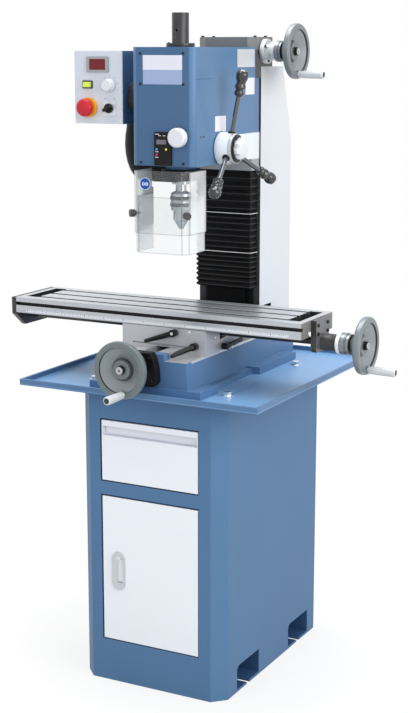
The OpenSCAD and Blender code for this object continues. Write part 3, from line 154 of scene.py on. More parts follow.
class Tree:
    """Short calls that add and join the nodes of one material or world."""

    def __init__(self, owner: bpy.types.Material | bpy.types.World, output: str = "OutputMaterial") -> None:
        """Starts with an output node alone.

        Args:
            owner: The material or world that gets the nodes.
            output: The type of its output node.
        """
        self.owner = owner
        owner.use_nodes = True
        self.nodes = owner.node_tree.nodes
        self.nodes.clear()
        self.output = self.add(output)
        self._here: Socket | None = None

    def add(self, kind: str, inputs: dict | None = None, **settings: object) -> bpy.types.Node:
        """Adds a node.

        Args:
            kind: The node's type without the "ShaderNode" in front.
            inputs: Values or sockets by input name or number.
            **settings: The node's own properties.

        Returns:
            The node.
        """
        node = self.nodes.new("ShaderNode" + kind)
        for key, value in settings.items():
            setattr(node, key, value)
        for key, value in (inputs or {}).items():
            if isinstance(value, Socket):
                self.owner.node_tree.links.new(value, node.inputs[key])
            else:
                node.inputs[key].default_value = value
        return node

    @property
    def here(self) -> Socket:
        """The point being shaded, in the piece's own space."""
        if self._here is None:
            self._here = self.add("TexCoord").outputs["Object"]
        return self._here

    def math(self, operation: str, *values: float | Socket) -> Socket:
        """Adds one sum and gives its result."""
        return self.add("Math", dict(enumerate(values)), operation=operation).outputs[0]

    def between(self, value: Socket, limits: Plan) -> Socket:
        """Gives 1 where a length in metres lies between two limits in millimetres, and 0 elsewhere."""
        start, end = limits
        return self.math("COMPARE", value, (start + end) / 2 * MM, (end - start) / 2 * MM)

    def mix(self, share: float | Socket, first: object, second: object) -> Socket:
        """Gives a colour between two colours."""
        return self.add("Mix", {0: share, 6: first, 7: second}, data_type="RGBA").outputs[2]

    def mix_value(self, share: float | Socket, first: object, second: object) -> Socket:
        """Gives a number between two numbers."""
        return self.add("Mix", {0: share, 2: first, 3: second}, data_type="FLOAT").outputs[0]

    def noise(
        self, size: float, detail: float = 3.0, stretch: Point = (1, 1, 1), shift: float = 0.0
    ) -> Socket:
        """Gives a noise from 0 to 1.

        Args:
            size: The size of its spots in millimetres.
            detail: How many finer layers it holds.
            stretch: How much longer the spots are along each axis.
            shift: Moves the pattern, so that two noises differ.

        Returns:
            The noise.
        """
        scale = tuple(1 / (size * MM * s) for s in stretch)
        spot = self.add("Mapping", {"Vector": self.here, "Location": (shift,) * 3, "Scale": scale}).outputs[0]
        return self.add("TexNoise", {"Vector": spot, "Scale": 1.0, "Detail": detail}).outputs["Fac"]

    def swing(self, value: Socket, reach: float, middle: float = 0.0) -> Socket:
        """Turns a noise into a value that lies up to a reach to either side of a middle."""
        return self.math("MULTIPLY_ADD", value, 2 * reach, middle - reach)

    def close(self, shader: bpy.types.Node) -> bpy.types.Material | bpy.types.World:
        """Joins the shader to the output and gives the owner."""
        self.owner.node_tree.links.new(shader.outputs[0], self.output.inputs["Surface"])
        return self.owner


@dataclass(frozen=True)
class BoxZone:
    """The part of a surface that lies inside a box."""

    low: Point
    high: Point

    def mask(self, tree: Tree) -> Socket:
        """Gives 1 inside the box and 0 outside."""
        split = tree.add("SeparateXYZ", {0: tree.here}).outputs
        inside = [tree.between(split[axis], (self.low[axis], self.high[axis])) for axis in range(3)]
        return tree.math("MULTIPLY", tree.math("MULTIPLY", inside[0], inside[1]), inside[2])


def within(node: str, x: Plan | None = None, y: Plan | None = None, z: Plan | None = None) -> BoxZone:
    """Gives the zone of a node's box.

    Args:
        node: The node.
        x: Limits along X, in place of the node's own with a small margin.
        y: The same along Y.
        z: The same along Z.

    Returns:
        The zone.
    """
    own = [(start - MARGIN, end + MARGIN) for start, end in zip(low(node), high(node))]
    limits = [given or whole for given, whole in zip((x, y, z), own)]
    return BoxZone(*zip(*limits))


@dataclass(frozen=True)
class RingZone:
    """The part of a surface between two radii and two stations of an axis."""

    facing: Facing
    centre: Point
    radii: Plan
    along: Plan

    def mask(self, tree: Tree) -> Socket:
        """Gives 1 inside the ring and 0 outside."""
        centre = tuple(c * MM for c in self.centre)
        shift = tree.add("VectorMath", {0: tree.here, 1: centre}, operation="SUBTRACT").outputs[0]
        axis = self.facing.value[2]
        height = tree.add("VectorMath", {0: shift, 1: axis}, operation="DOT_PRODUCT").outputs["Value"]
        flat = tree.add("VectorMath", {0: shift, 1: axis}, operation="CROSS_PRODUCT").outputs[0]
        radius = tree.add("VectorMath", {0: flat}, operation="LENGTH").outputs["Value"]
        return tree.math("MULTIPLY", tree.between(radius, self.radii), tree.between(height, self.along))


@dataclass(frozen=True)
class Patch:
    """A second look that shows inside some zones of a finish."""

    zones: tuple[BoxZone | RingZone, ...]
    colour: Colour
    rough: float
    metal: float = 0.0


class Look:
    """What every finish shares: its material is built once."""

    name: str
    slot: str = ""

    def material(self) -> bpy.types.Material:
        """Gives the finish's material."""
        name = f"{self.name}_look"
        return bpy.data.materials.get(name) or self._build(Tree(bpy.data.materials.new(name)))

    def _build(self, tree: Tree) -> bpy.types.Material:
        """Adds the nodes; each kind of finish has its own way."""
        raise NotImplementedError


@dataclass(frozen=True)
class Finish(Look):
    """A solid surface: its colour with a slow drift and fine flecks, its gloss and its raised grain."""

    name: str
    colour: Colour
    rough: float = 0.4
    metal: float = 0.0
    coat: float = 0.0
    spec: float = 0.5
    drift: float = 0.07
    drift_size: float = 90.0
    fleck: float = 0.03
    fleck_size: float = 1.2
    stretch: Point = (1.0, 1.0, 1.0)
    grain: float = 0.02
    grain_size: float = 1.5
    rough_drift: float = 0.08
    patches: tuple[Patch, ...] = ()
    slot: str = ""

    def _build(self, tree: Tree) -> bpy.types.Material:
        """Adds the nodes: colour, roughness, metal and bump."""
        colour: object = self.colour.linear()
        rough: object = self.rough
        metal: object = self.metal
        for patch in self.patches:
            for zone in patch.zones:
                share = zone.mask(tree)
                colour = tree.mix(share, colour, patch.colour.linear())
                rough = tree.mix_value(share, rough, patch.rough)
                if patch.metal != self.metal:
                    metal = tree.mix_value(share, metal, patch.metal)
        slow = tree.noise(self.drift_size, 2.0)
        fine = tree.noise(self.fleck_size, 4.0, self.stretch, 3.7)
        light = tree.math("MULTIPLY", tree.swing(slow, self.drift, 1.0), tree.swing(fine, self.fleck, 1.0))
        start = colour if isinstance(colour, Socket) else colour[:3]
        shaded = tree.add("VectorMath", {0: start, "Scale": light}, operation="SCALE").outputs[0]
        spread = tree.swing(fine, self.rough_drift / 2)
        gloss = tree.add("Math", {0: rough, 1: spread}, operation="ADD", use_clamp=True).outputs[0]
        height = tree.noise(self.grain_size, 3.0, self.stretch, 9.1)
        bump = tree.add("Bump", {"Height": height, "Strength": 1.0, "Distance": self.grain * MM}).outputs[0]
        values = {
            "Base Color": shaded, "Roughness": gloss, "Metallic": metal, "Normal": bump,
            "Specular IOR Level": self.spec, "Coat Weight": self.coat, "Coat Roughness": 0.12,
        }
        return tree.close(tree.add("BsdfPrincipled", values))


@dataclass(frozen=True)
class ClearFinish(Look):
    """Clear moulded plastic: see-through where it's faced, paler and glossier towards its edges."""

    name: str
    colour: Colour
    least: float
    most: float
    rough: float = 0.08
    lines: tuple[tuple[BoxZone, float], ...] = ()
    line_colour: Colour = Colour(122, 120, 120)
    clear_tint: tuple[float, ...] = (0.96, 0.97, 0.97, 1.0)

    def _build(self, tree: Tree) -> bpy.types.Material:
        """Adds the nodes: a clear and a glossy shader, mixed by the surface's angle, with grey lines of
        painted shade at the bends and rims.
        """
        facing = tree.add("LayerWeight", {"Blend": 0.5}).outputs["Facing"]
        steep = tree.math("MULTIPLY_ADD", facing, 3.1, -0.62)
        scuff = tree.swing(tree.noise(14.0, 4.0), 0.02)
        share = tree.math("ADD", tree.mix_value(steep, self.least, self.most), scuff)
        colour: object = self.colour.linear()
        for zone, dark in self.lines:
            here = zone.mask(tree)
            colour = tree.mix(here, colour, self.line_colour.linear())
            share = tree.mix_value(here, share, dark)
        gloss = tree.math("MULTIPLY_ADD", tree.noise(5.0, 3.0, shift=2.0), 0.08, self.rough)
        clear = tree.add("BsdfTransparent", {"Color": self.clear_tint})
        body = tree.add("BsdfPrincipled", {"Base Color": colour, "Roughness": gloss, "Coat Weight": 0.3})
        return tree.close(tree.add("MixShader", {0: share, 1: clear.outputs[0], 2: body.outputs[0]}))


@dataclass(frozen=True)
class LitFinish(Look):
    """A lens with a lamp behind it: brightest in the middle."""

    name: str
    colour: Colour
    glow: float
    centre: Point
    reach: float
    rim_share: float = 0.35

    def _build(self, tree: Tree) -> bpy.types.Material:
        """Adds the nodes: a glossy lens whose glow fades from its centre."""
        centre = tuple(c * MM for c in self.centre)
        apart = tree.add("VectorMath", {0: tree.here, 1: centre}, operation="DISTANCE").outputs["Value"]
        limits = {1: 0.0, 2: self.reach * MM, 3: self.glow, 4: self.glow * self.rim_share}
        values = {
            "Base Color": self.colour.linear(0.8),
            "Roughness": tree.math("MULTIPLY_ADD", tree.noise(2.0), 0.1, 0.15),
            "Emission Color": self.colour.linear(),
            "Emission Strength": tree.add("MapRange", {"Value": apart, **limits}).outputs[0],
        }
        return tree.close(tree.add("BsdfPrincipled", values))


BLUE = Colour(82, 117, 156)
DEEP_BLUE = Colour(65, 98, 134)
NAVY = Colour(30, 46, 72)
WHITE = Colour(226, 230, 238)
BLACK = Colour(21, 21, 22)

CAST_BLUE = Finish(
    "cast_blue_paint", BLUE, 0.4, coat=0.06, spec=0.28, drift=0.05, grain=0.05, grain_size=2.6, fleck=0.02
)
WHITE_PAINT = Finish(
    "white_paint", WHITE, 0.36, coat=0.15, drift=0.03, drift_size=160, grain=0.02, grain_size=1.6,
    fleck=0.015, slot="white_paint",
)
TURNED_STEEL = Finish(
    "turned_steel", Colour(186, 189, 192), 0.26, 0.9, drift=0.06, fleck=0.05, fleck_size=0.6, grain=0.01,
    grain_size=0.5,
)
BRIGHT_STEEL = Finish(
    "bright_steel", Colour(222, 224, 226), 0.18, 1.0, drift=0.04, fleck=0.04, fleck_size=0.8, grain=0.008,
    grain_size=0.6, slot="bright_steel",
)
BLACK_PAINT = Finish(
    "black_paint", Colour(20, 20, 21), 0.45, spec=0.15, drift=0.1, grain=0.05, grain_size=2.0
)
BLACK_OXIDE = Finish(
    "black_oxide", Colour(32, 32, 34), 0.35, 0.5, spec=0.3, drift=0.12, fleck=0.06, fleck_size=0.6,
    grain=0.012, grain_size=0.6, slot="black_paint",
)
BLACK_PLASTIC = Finish(
    "black_plastic", BLACK, 0.3, coat=0.03, spec=0.25, drift=0.1, fleck=0.05, grain=0.02, grain_size=0.7,
    slot="black_plastic",
)
RUBBER = Finish(
    "black_rubber", Colour(14, 14, 15), 0.5, spec=0.15, drift=0.18, drift_size=40, fleck=0.08, grain=0.05,
    grain_size=0.9, slot="rubber",
)
OFF_WHITE = Finish(
    "off_white_plastic", Colour(214, 217, 223), 0.32, coat=0.1, spec=0.35, drift=0.03, fleck=0.015,
    grain=0.01, grain_size=0.8, slot="white_plastic",
)


# ---------------------------------------------------------------- mesh building


class Shape:
    """A mesh that bmesh operators build up in millimetres, ending as one piece of the scene."""

    def __init__(self) -> None:
        """Starts empty."""
        self.bm = bmesh.new()

    def plate(
        self, size: Point, place: Matrix, corner: float = 0.0, edge: float = 0.3, steps: int = 4,
        slot: int = 0,
    ) -> "Shape":
        """Adds a plate with round corners and softened edges, its back at the place's origin.

        Args:
            size: Width, height and thickness.
            place: The placing matrix.
            corner: The radius of its four corners.
            edge: The size of the softened edges, or 0.
            steps: Segments of each corner.
            slot: The material number.

        Returns:
            The shape.
        """
        part = bmesh.new()
        thick = size[2]
        verts = bmesh.ops.create_cube(part, size=1.0)["verts"]
        bmesh.ops.scale(part, vec=Vector(size), verts=verts)
        bmesh.ops.translate(part, vec=Vector((0, 0, thick / 2)), verts=verts)
        rounding = {"affect": "EDGES", "profile": 0.5, "material": -1}
        if corner:
            upright = [e for e in part.edges if abs(e.verts[0].co.z - e.verts[1].co.z) > thick / 2]
            bmesh.ops.bevel(part, geom=upright, offset=corner, segments=steps, **rounding)
        if edge:
            rims = [e for e in part.edges if min(v.co.z for v in e.verts) > thick - SMALL]
            bmesh.ops.bevel(part, geom=rims, offset=edge, segments=2, **rounding)
        return self.join(part, place, slot)

    def lathe(self, profile: Sequence[Plan], place: Matrix, steps: int = 48, slot: int = 0) -> "Shape":
        """Adds a turned form.

        Args:
            profile: Radius and height of each point, from the bottom of the outline round to its top.
            place: The placing matrix; the form turns about its Z.
            steps: Segments round the form.
            slot: The material number.

        Returns:
            The shape.
        """
        part = bmesh.new()
        chain = [part.verts.new((radius, 0, height)) for radius, height in profile]
        edges = [part.edges.new(pair) for pair in zip(chain, chain[1:])]
        turn = {"cent": (0, 0, 0), "axis": (0, 0, 1), "angle": math.tau, "steps": steps}
        bmesh.ops.spin(part, geom=chain + edges, use_merge=True, use_duplicate=False, **turn)
        bmesh.ops.remove_doubles(part, verts=part.verts, dist=SMALL)
        bmesh.ops.recalc_face_normals(part, faces=part.faces)
        return self.join(part, place, slot)

    def ring(
        self, inner: float, outer: float, thick: float, place: Matrix, steps: int = 48, slot: int = 0
    ) -> "Shape":
        """Adds a washer with small chamfers, its back at the place's origin."""
        cut = min(0.25, thick / 4, (outer - inner) / 4)
        outline = [
            (inner, 0), (outer, 0), (outer, thick - cut), (outer - cut, thick),
            (inner + cut, thick), (inner, thick - cut), (inner, 0),
        ]
        return self.lathe(outline, place, steps, slot)

    def cap_screw(self, radius: float, tall: float, place: Matrix) -> "Shape":
        """Adds a socket-head screw: a round head with a six-sided hole."""
        well, lip = radius * 0.5, 0.02
        outline = [(0, 0), (radius, 0), (radius, tall * 0.82), (radius * 0.9, tall), (well * 1.16, tall)]
        self.lathe(outline, place, 24)
        part = bmesh.new()
        deep = tall * 0.6
        hole = {"cap_ends": True, "segments": 6, "radius1": well, "radius2": well, "depth": deep}
        verts = bmesh.ops.create_cone(part, **hole)["verts"]
        bmesh.ops.translate(part, vec=Vector((0, 0, tall - deep / 2 - lip)), verts=verts)
        lid = [f for f in part.faces if f.normal.z > 0.9]
        bmesh.ops.inset_region(part, faces=lid, thickness=well * 0.16)
        floor = list({v for f in lid for v in f.verts})
        bmesh.ops.translate(part, vec=Vector((0, 0, -deep * 0.8)), verts=floor)
        rim = [v for v in part.verts if abs(v.co.z - tall + lip) < 1e-3 and v.co.xy.length > well * 0.95]
        bmesh.ops.scale(part, vec=Vector((1.18, 1.18, 1)), verts=rim)
        return self.join(part, place)

    def cap_screws(self, radius: float, tall: float, facing: Facing, spots: Iterable[Point]) -> "Shape":
        """Adds a socket-head screw at each spot."""
        for spot in spots:
            self.cap_screw(radius, tall, facing.matrix(spot))
        return self

    def join(self, part: bmesh.types.BMesh, place: Matrix, slot: int = 0) -> "Shape":
        """Moves a part to its place and adds it to the shape.

        Args:
            part: A mesh of its own, which is freed.
            place: The placing matrix.
            slot: The material number of its faces.

        Returns:
            The shape.
        """
        bmesh.ops.transform(part, matrix=place, verts=part.verts)
        for face in part.faces:
            face.material_index = face.material_index or slot
        mesh = bpy.data.meshes.new("part")
        part.to_mesh(mesh)
        part.free()
        self.bm.from_mesh(mesh)
        bpy.data.meshes.remove(mesh)
        return self

    def done(
        self, name: str, body: str, *finishes: Look, slot: str = "", smooth: float = 32.0
    ) -> bpy.types.Object:
        """Ends the shape as a piece.

        Args:
            name: The piece's name.
            body: The body that carries it, or nothing to leave it unattached.
            *finishes: The finishes by material number.
            slot: The record's material slot it stands for, if that isn't the first finish's own; it is worked
                out and then not used.
            smooth: Edges sharper than this, in degrees, stay sharp.

        Returns:
            The piece.
        """
        bmesh.ops.scale(self.bm, vec=Vector((MM, MM, MM)), verts=self.bm.verts)
        mesh = bpy.data.meshes.new(name)
        self.bm.to_mesh(mesh)
        self.bm.free()
        mesh.shade_smooth()
        mesh.set_sharp_from_angle(angle=math.radians(smooth))
        piece = bpy.data.objects.new(name, mesh)
        bpy.context.scene.collection.objects.link(piece)
        for finish in finishes:
            mesh.materials.append(finish.material())
        piece.modifiers.new("flat_faces", "WEIGHTED_NORMAL").keep_sharp = True
        if body:
            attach(piece, body)
        slot = slot or finishes[0].slot
        LOG.info("piece %s on %s: %d faces", name, body or "two bodies", len(mesh.polygons))
        return piece


def dress(node: str, finish: Look, edge: float = 0.0) -> None:
    """Gives a solid its finish, and softens its edges.

    Args:
        node: The solid's node name.
        finish: The finish.
        edge: The size of the softened edges in millimetres, or 0 to leave them sharp.
    """
    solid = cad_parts[node]
    solid.data.materials.clear()
    solid.data.materials.append(finish.material())
    if edge:
        weld = solid.modifiers.new("weld", "WELD")
        weld.merge_threshold = 0.002 * MM
        soften = solid.modifiers.new("soft_edges", "BEVEL")
        soften.width = edge * MM
        soften.segments = 2
        soften.limit_method = "ANGLE"
        soften.angle_limit = math.radians(38)
        soften.use_clamp_overlap = True
        soften.harden_normals = True
    LOG.info("dressed %s with %s", node, finish.name)


# ---------------------------------------------------------------- the stand


@dataclass
class CabinetStand:
    """The sheet-metal cabinet with its door, drawer and latch."""

    half_opening: float = 119.0
    openings: tuple[Plan, ...] = ((97.0, 428.0), (461.0, 598.0))
    # Width of the navy band of painted shade above and beside each opening.
    seam: float = 2.2
    wall: float = 1.6
    foot_top: float = 62.0
    foot_from_corner: float = 45.0
    lock_radius: float = 5.0
    lock_drop: float = 14.0
    pull: Point = (12.0, 18.0, 1.0)
    pull_deep: float = 13.0
    pull_z: float = 574.0

    def build(self) -> None:
        """Dresses the cabinet and adds the latch's lock and the drawer's lip."""
        # Painted shade: navy bands in the gaps round the door and the drawer, and a darker blue inside the
        # foot openings.
        dark = (Patch(self._gap_shade_zones(), NAVY, 0.5), Patch((self._feet(),), Colour(54, 88, 126), 0.6))
        cabinet = Finish(
            "cabinet_blue_paint", Colour(85, 120, 157), 0.42, spec=0.1, drift=0.04, drift_size=240,
            grain=0.025, grain_size=1.8, fleck=0.02, patches=dark,
        )
        dress("stand_cabinet", cabinet, 0.8)
        door_white = Finish(
            "door_white", Colour(234, 238, 246), 0.34, coat=0.2, drift=0.02, drift_size=200, grain=0.015,
            fleck=0.01,
        )
        dress("stand_door", door_white, 0.6)
        dress("drawer", door_white, 0.6)
        dress("drawer_runners", TURNED_STEEL)
        dress("door_hinges", BLACK_OXIDE)
        latch = Finish("latch_plate_grey", Colour(196, 200, 205), 0.36, 0.2, drift=0.03, grain=0.01)
        dress("latch_plate", latch, 0.5)
        lever = replace(latch, name="latch_lever_grey", colour=Colour(216, 220, 226), rough=0.3, metal=0.1)
        dress("latch_lever", lever, 0.5)
        self._lock()
        self._drawer_pull()

    def _feet(self) -> BoxZone:
        """Gives the zone inside the foot openings that is painted darker as shade."""
        corner, top = low("stand_cabinet"), high("stand_cabinet")
        across = (corner.x + self.wall, top.x - self.wall)
        deep = (corner.y + self.foot_from_corner, top.y - self.foot_from_corner)
        return within("stand_cabinet", across, deep, (corner.z - MARGIN, corner.z + self.foot_top))

    def _gap_shade_zones(self) -> tuple[BoxZone, ...]:
        """Gives the zones of painted shade in the gaps round both openings: a dark band on the skin beside
        them, and the edges of the sheet inside them.
        """
        skin = low("stand_cabinet").y
        edge, wide, gap = self.half_opening, self.half_opening + self.seam, 0.4
        zones = []
        for bottom, top in self.openings:
            for across, tall in (
                ((-wide, wide), (top, top + self.seam)),
                ((-wide, edge), (bottom - self.seam / 2, bottom)),
                ((-wide, -edge), (bottom, top)),
            ):
                zones.append(within("stand_cabinet", across, (skin - MARGIN, skin + 3), tall))
            across, tall = (-edge - gap, edge + gap), (bottom - gap, top + gap)
            zones.append(within("stand_cabinet", across, (skin + 0.3, skin + 30), tall))
        return tuple(zones)

    def _lock(self) -> None:
        """Adds the keyed cylinder at the top of the latch plate."""
        corner, top = low("latch_plate"), high("latch_plate")
        x, z = (corner.x + top.x) / 2, top.z - self.lock_drop
        radius = self.lock_radius
        outline = [(0, -1.5), (radius, -1.5), (radius, 0.6), (radius - 0.6, 1.2), (0, 1.2)]
        shape = Shape().lathe(outline, Facing.FRONT.matrix((x, corner.y, z)), 32)
        # A black slot on the cylinder's face: painted shade of the key slot.
        shape.plate((1.0, 5.0, 0.3), Facing.FRONT.matrix((x, corner.y - 1.0, z)), 0.3, 0.0, slot=1)
        shape.done("latch_lock", "door", BRIGHT_STEEL, BLACK_PLASTIC)

    def _drawer_pull(self) -> None:
        """Adds the turned-in lip along the drawer's finger gap."""
        corner, top = low("drawer"), high("drawer")
        spare, tall, thick = self.pull
        place = Facing.FRONT.matrix(((corner.x + top.x) / 2, corner.y + self.pull_deep, self.pull_z))
        shape = Shape().plate((top.x - corner.x - spare, tall, thick), place, 1.0)
        shape.done("drawer_pull_back", "drawer", WHITE_PAINT)


@dataclass
class ChipTray:
    """The folded tray and the bolts through it."""

    washer: Point = (7.0, 12.0, 1.4)
    bolts: tuple[Plan, ...] = ((-162.0, -209.0), (162.0, -209.0), (-162.0, 135.0), (162.0, 135.0))

    def build(self) -> None:
        """Dresses the tray and its bolts and adds a washer round each bolt head."""
        floor = low("base_casting").z
        # The tray's bed is painted lighter than its walls: painted light where it faces up to the lamps.
        painted_light_bed = Patch((within("chip_tray", z=(floor - 0.5, floor + 0.5)),), Colour(116, 158, 202), 0.4)
        dress("chip_tray", replace(CAST_BLUE, name="tray_blue_paint", patches=(painted_light_bed,)), 0.9)
        dress("tray_bolts", BRIGHT_STEEL, 0.4)
        shape = Shape()
        for x, y in self.bolts:
            shape.ring(*self.washer, Facing.UP.matrix((x, y, floor)), 32)
        shape.done("tray_washers", "root", BRIGHT_STEEL)


# ---------------------------------------------------------------- base, saddle and table


@dataclass
class Base:
    """The cast base with its slideways and the bearing plate of the saddle's screw."""

    screws: tuple[Plan, ...] = ((-28.0, 703.0), (28.0, 703.0), (-22.0, 751.0), (22.0, 751.0))
    plate_front: float = -292.0
    way_front: float = -246.4
    way_back: float = 116.0
    way_foot: float = 738.6
    way_half: float = 120.0
    flat_front: float = -272.0
    flat_middles: Plan = (-83.0, 83.0)
    flat_half: float = 37.2
    flat_z: Plan = (743.1, 744.2)

    def build(self) -> None:
        """Dresses the base, with ground metal where the saddle slides."""
        top = high("base_casting").z
        half, deep = self.way_half, (self.way_front, self.way_back)
        ways = within("base_casting", (-half, half), deep, (self.way_foot, top + MARGIN))
        wide, front = self.flat_half, (self.flat_front, self.way_front)
        flats = (
            within("base_casting", (x - wide, x + wide), front, self.flat_z) for x in self.flat_middles
        )
        ground = Patch((ways, *flats), Colour(204, 205, 208), 0.34, 0.6)
        paint = replace(CAST_BLUE, name="base_blue_paint", grain=0.06, grain_size=3.0, patches=(ground,))
        dress("base_casting", paint, 1.2)
        dress("y_bearing_plate", BLACK_PAINT, 0.8)
        dress("y_screw", TURNED_STEEL)
        spots = [(x, self.plate_front, z) for x, z in self.screws]
        Shape().cap_screws(3.6, 3.0, Facing.FRONT, spots).done("y_plate_screws", "root", BLACK_OXIDE)


@dataclass
class Saddle:
    """The ground saddle with its gib, clamp levers and oil ball."""

    oil_ball: Point = (62.0, -192.0, 792.0)
    gib_screws: tuple[float, ...] = (-150.0, -112.0, -74.0)
    gib_screw_z: float = 778.0
    gib_joint: tuple[Plan, Plan, Plan] = ((-75.0, 75.0), (-193.0, -191.5), (759.5, 762.0))
    lever_hubs: tuple[tuple[str, Facing, Point], ...] = (
        ("table_clamp", Facing.FRONT, (29.0, -207.5, 789.5)),
        ("saddle_clamp", Facing.FRONT, (78.0, -207.5, 764.5)),
        ("side_clamp", Facing.RIGHT, (123.5, -112.0, 753.0)),
    )

    def build(self) -> None:
        """Dresses the saddle and its levers and adds the small fasteners."""
        gib = Patch((within("saddle", *self.gib_joint),), Colour(40, 40, 40), 0.6)
        finish = Finish(
            "saddle_grey", Colour(180, 182, 187), 0.4, 0.35, drift=0.05, fleck=0.05, fleck_size=0.8,
            stretch=(30, 1, 1), grain=0.02, grain_size=0.9, patches=(gib,),
        )
        dress("saddle", finish, 0.8)
        for lever, *_ in self.lever_hubs:
            dress(lever, BLACK_PLASTIC, 0.5)
        self._fasteners()
        self._lever_screws()

    def _fasteners(self) -> None:
        """Adds the oil ball and the gib screws on the right side."""
        ball = [(0, -1), (3.6, -1), (3.6, 0.4), (2.6, 0.8), (2.2, 0.4), (1.4, 1.1), (0, 1.4)]
        shape = Shape().lathe(ball, Facing.FRONT.matrix(self.oil_ball), 24)
        side = high("saddle").x
        shape.cap_screws(2.6, 1.6, Facing.RIGHT, ((side, y, self.gib_screw_z) for y in self.gib_screws))
        shape.done("saddle_fittings", "saddle", BRIGHT_STEEL)

    def _lever_screws(self) -> None:
        """Adds the bright screw in the hub of each clamp lever."""
        for body, facing, at in self.lever_hubs:
            screw = Shape().cap_screw(3.4, 1.4, facing.matrix(at))
            screw.done(f"{body}_screw", body, BRIGHT_STEEL)


@dataclass
class Table:
    """The slotted table with its end brackets and its scale."""

    slot_rows: tuple[float, ...] = (-162.0, -112.0, -62.0)
    slot_ends: Plan = (-345.0, 289.0)
    trough_ends: tuple[Plan, Plan] = ((-367.0, -335.0), (276.0, 308.0))
    trough_y: Plan = (-171.0, -48.0)
    stop_slot: tuple[Plan, Plan, Plan] = ((-390.0, 340.0), (-191.8, -183.0), (816.2, 823.8))
    screw_axis: Point = (0.0, -112.0, 784.5)
    bearing_ring: Plan = (369.4, 378.0)
    bracket_face: float = 333.6
    lit_bracket_face: tuple[Plan, Plan, Plan] = ((333.3, 334.2), (-146.0, -78.0), (760.0, 833.0))
    scale_ends: Plan = (-352.0, 292.0)
    scale_z: float = 805.2
    scale_high: float = 6.6
    tick_step: float = 5.0

    def build(self) -> None:
        """Dresses the table and its screw and adds the scale and the screws of the brackets."""
        finish = Finish(
            "table_ground_steel", Colour(184, 188, 194), 0.3, 0.65, drift=0.1, drift_size=150, fleck=0.06,
            fleck_size=0.9, stretch=(36, 1, 1), grain=0.012, grain_size=0.8, patches=self._patches(),
        )
        dress("table", finish, 0.7)
        bearing = RingZone(Facing.RIGHT, self.screw_axis, (0, 24), self.bearing_ring)
        ring = Patch((bearing,), Colour(232, 234, 238), 0.35)
        # The brackets' right faces are painted mid grey: a painted sheen of the key lamp on the black paint.
        plate = Patch((within("table_end_plates", *self.lit_bracket_face),), Colour(104, 106, 110), 0.36, 0.2)
        ends = Finish(
            "end_bracket_black", Colour(50, 49, 50), 0.4, 0.2, coat=0.1, drift=0.1, grain=0.04,
            grain_size=1.6, patches=(ring, plate),
        )
        dress("table_end_plates", ends, 0.6)
        # The screw is painted dark: partly grease, partly painted shade under the table.
        grease_and_shade = Finish(
            "x_screw_grease_and_shade", Colour(58, 55, 53), 0.35, 0.3, spec=0.2, drift=0.15, drift_size=20, grain=0.03
        )
        dress("x_screw", grease_and_shade)
        self._scale()
        self._bracket_screws()

    def _patches(self) -> tuple[Patch, ...]:
        """Gives the dark troughs and stop slot, and painted shade in the T-slots, on the duller right end and
        along the lower edge.
        """
        corner, top = low("table"), high("table")
        right = (top.x - 0.8, top.x + MARGIN)
        trough_z, slot_z = (top.z - 34, top.z - 0.4), (top.z - 30, top.z - 1.0)
        troughs = [within("table", ends, self.trough_y, trough_z) for ends in self.trough_ends]
        slots = [within("table", self.slot_ends, (y - 12, y + 12), slot_z) for y in self.slot_rows]
        end = within("table", right, z=(corner.z - MARGIN, top.z - 1.0))
        foot = within("table", z=(corner.z - MARGIN, corner.z + 1.1))
        return (
            Patch((*troughs, within("table", *self.stop_slot)), Colour(14, 14, 15), 0.6),
            # Grey in the T-slots: painted shade.
            Patch(tuple(slots), Colour(92, 95, 100), 0.42, 0.5),
            # The right end: a duller face, darkened by painted shade.
            Patch((end,), Colour(124, 122, 119), 0.5, 0.1),
            # Near-black along the lower edge: painted shade under the table's front.
            Patch((foot,), Colour(50, 48, 48), 0.6),
        )

    def _scale(self) -> None:
        """Adds the pale scale along the table's front, with its division marks."""
        front = low("table").y
        left, right = self.scale_ends
        border, thick = 4.0, 0.5
        place = Facing.FRONT.matrix(((left + right) / 2, front, self.scale_z))
        strip = Shape().plate((right - left, self.scale_high, thick), place, 0.6, 0.1)
        count = int((right - left - 2 * border) // self.tick_step)
        for number in range(count + 1):
            tall = 3.6 if number % 10 == 0 else 2.6 if number % 5 == 0 else 1.7
            wide = 0.7 if number % 2 else 1.3
            x = left + border + number * self.tick_step
            z = self.scale_z + self.scale_high / 2 - 0.4 - tall / 2
            strip.plate((wide, tall, 0.06), Facing.FRONT.matrix((x, front - thick, z)), 0, 0, slot=1)
        strip.done("table_scale", "table", OFF_WHITE, BLACK_PLASTIC)

    def _bracket_screws(self) -> None:
        """Adds the cap screws that hold both end brackets."""
        left = low("table_end_plates").x + 2.8
        shape = Shape()
        right_spots = [(self.bracket_face, y, z) for y in (-136.0, -86.5) for z in (804.0, 822.0)]
        shape.cap_screws(3.6, 2.4, Facing.RIGHT, right_spots)
        shape.cap_screws(3.6, 3.0, Facing.LEFT, [(left, y, 815.0) for y in (-176.0, -48.0)])
        shape.done("bracket_screws", "table", BLACK_OXIDE)


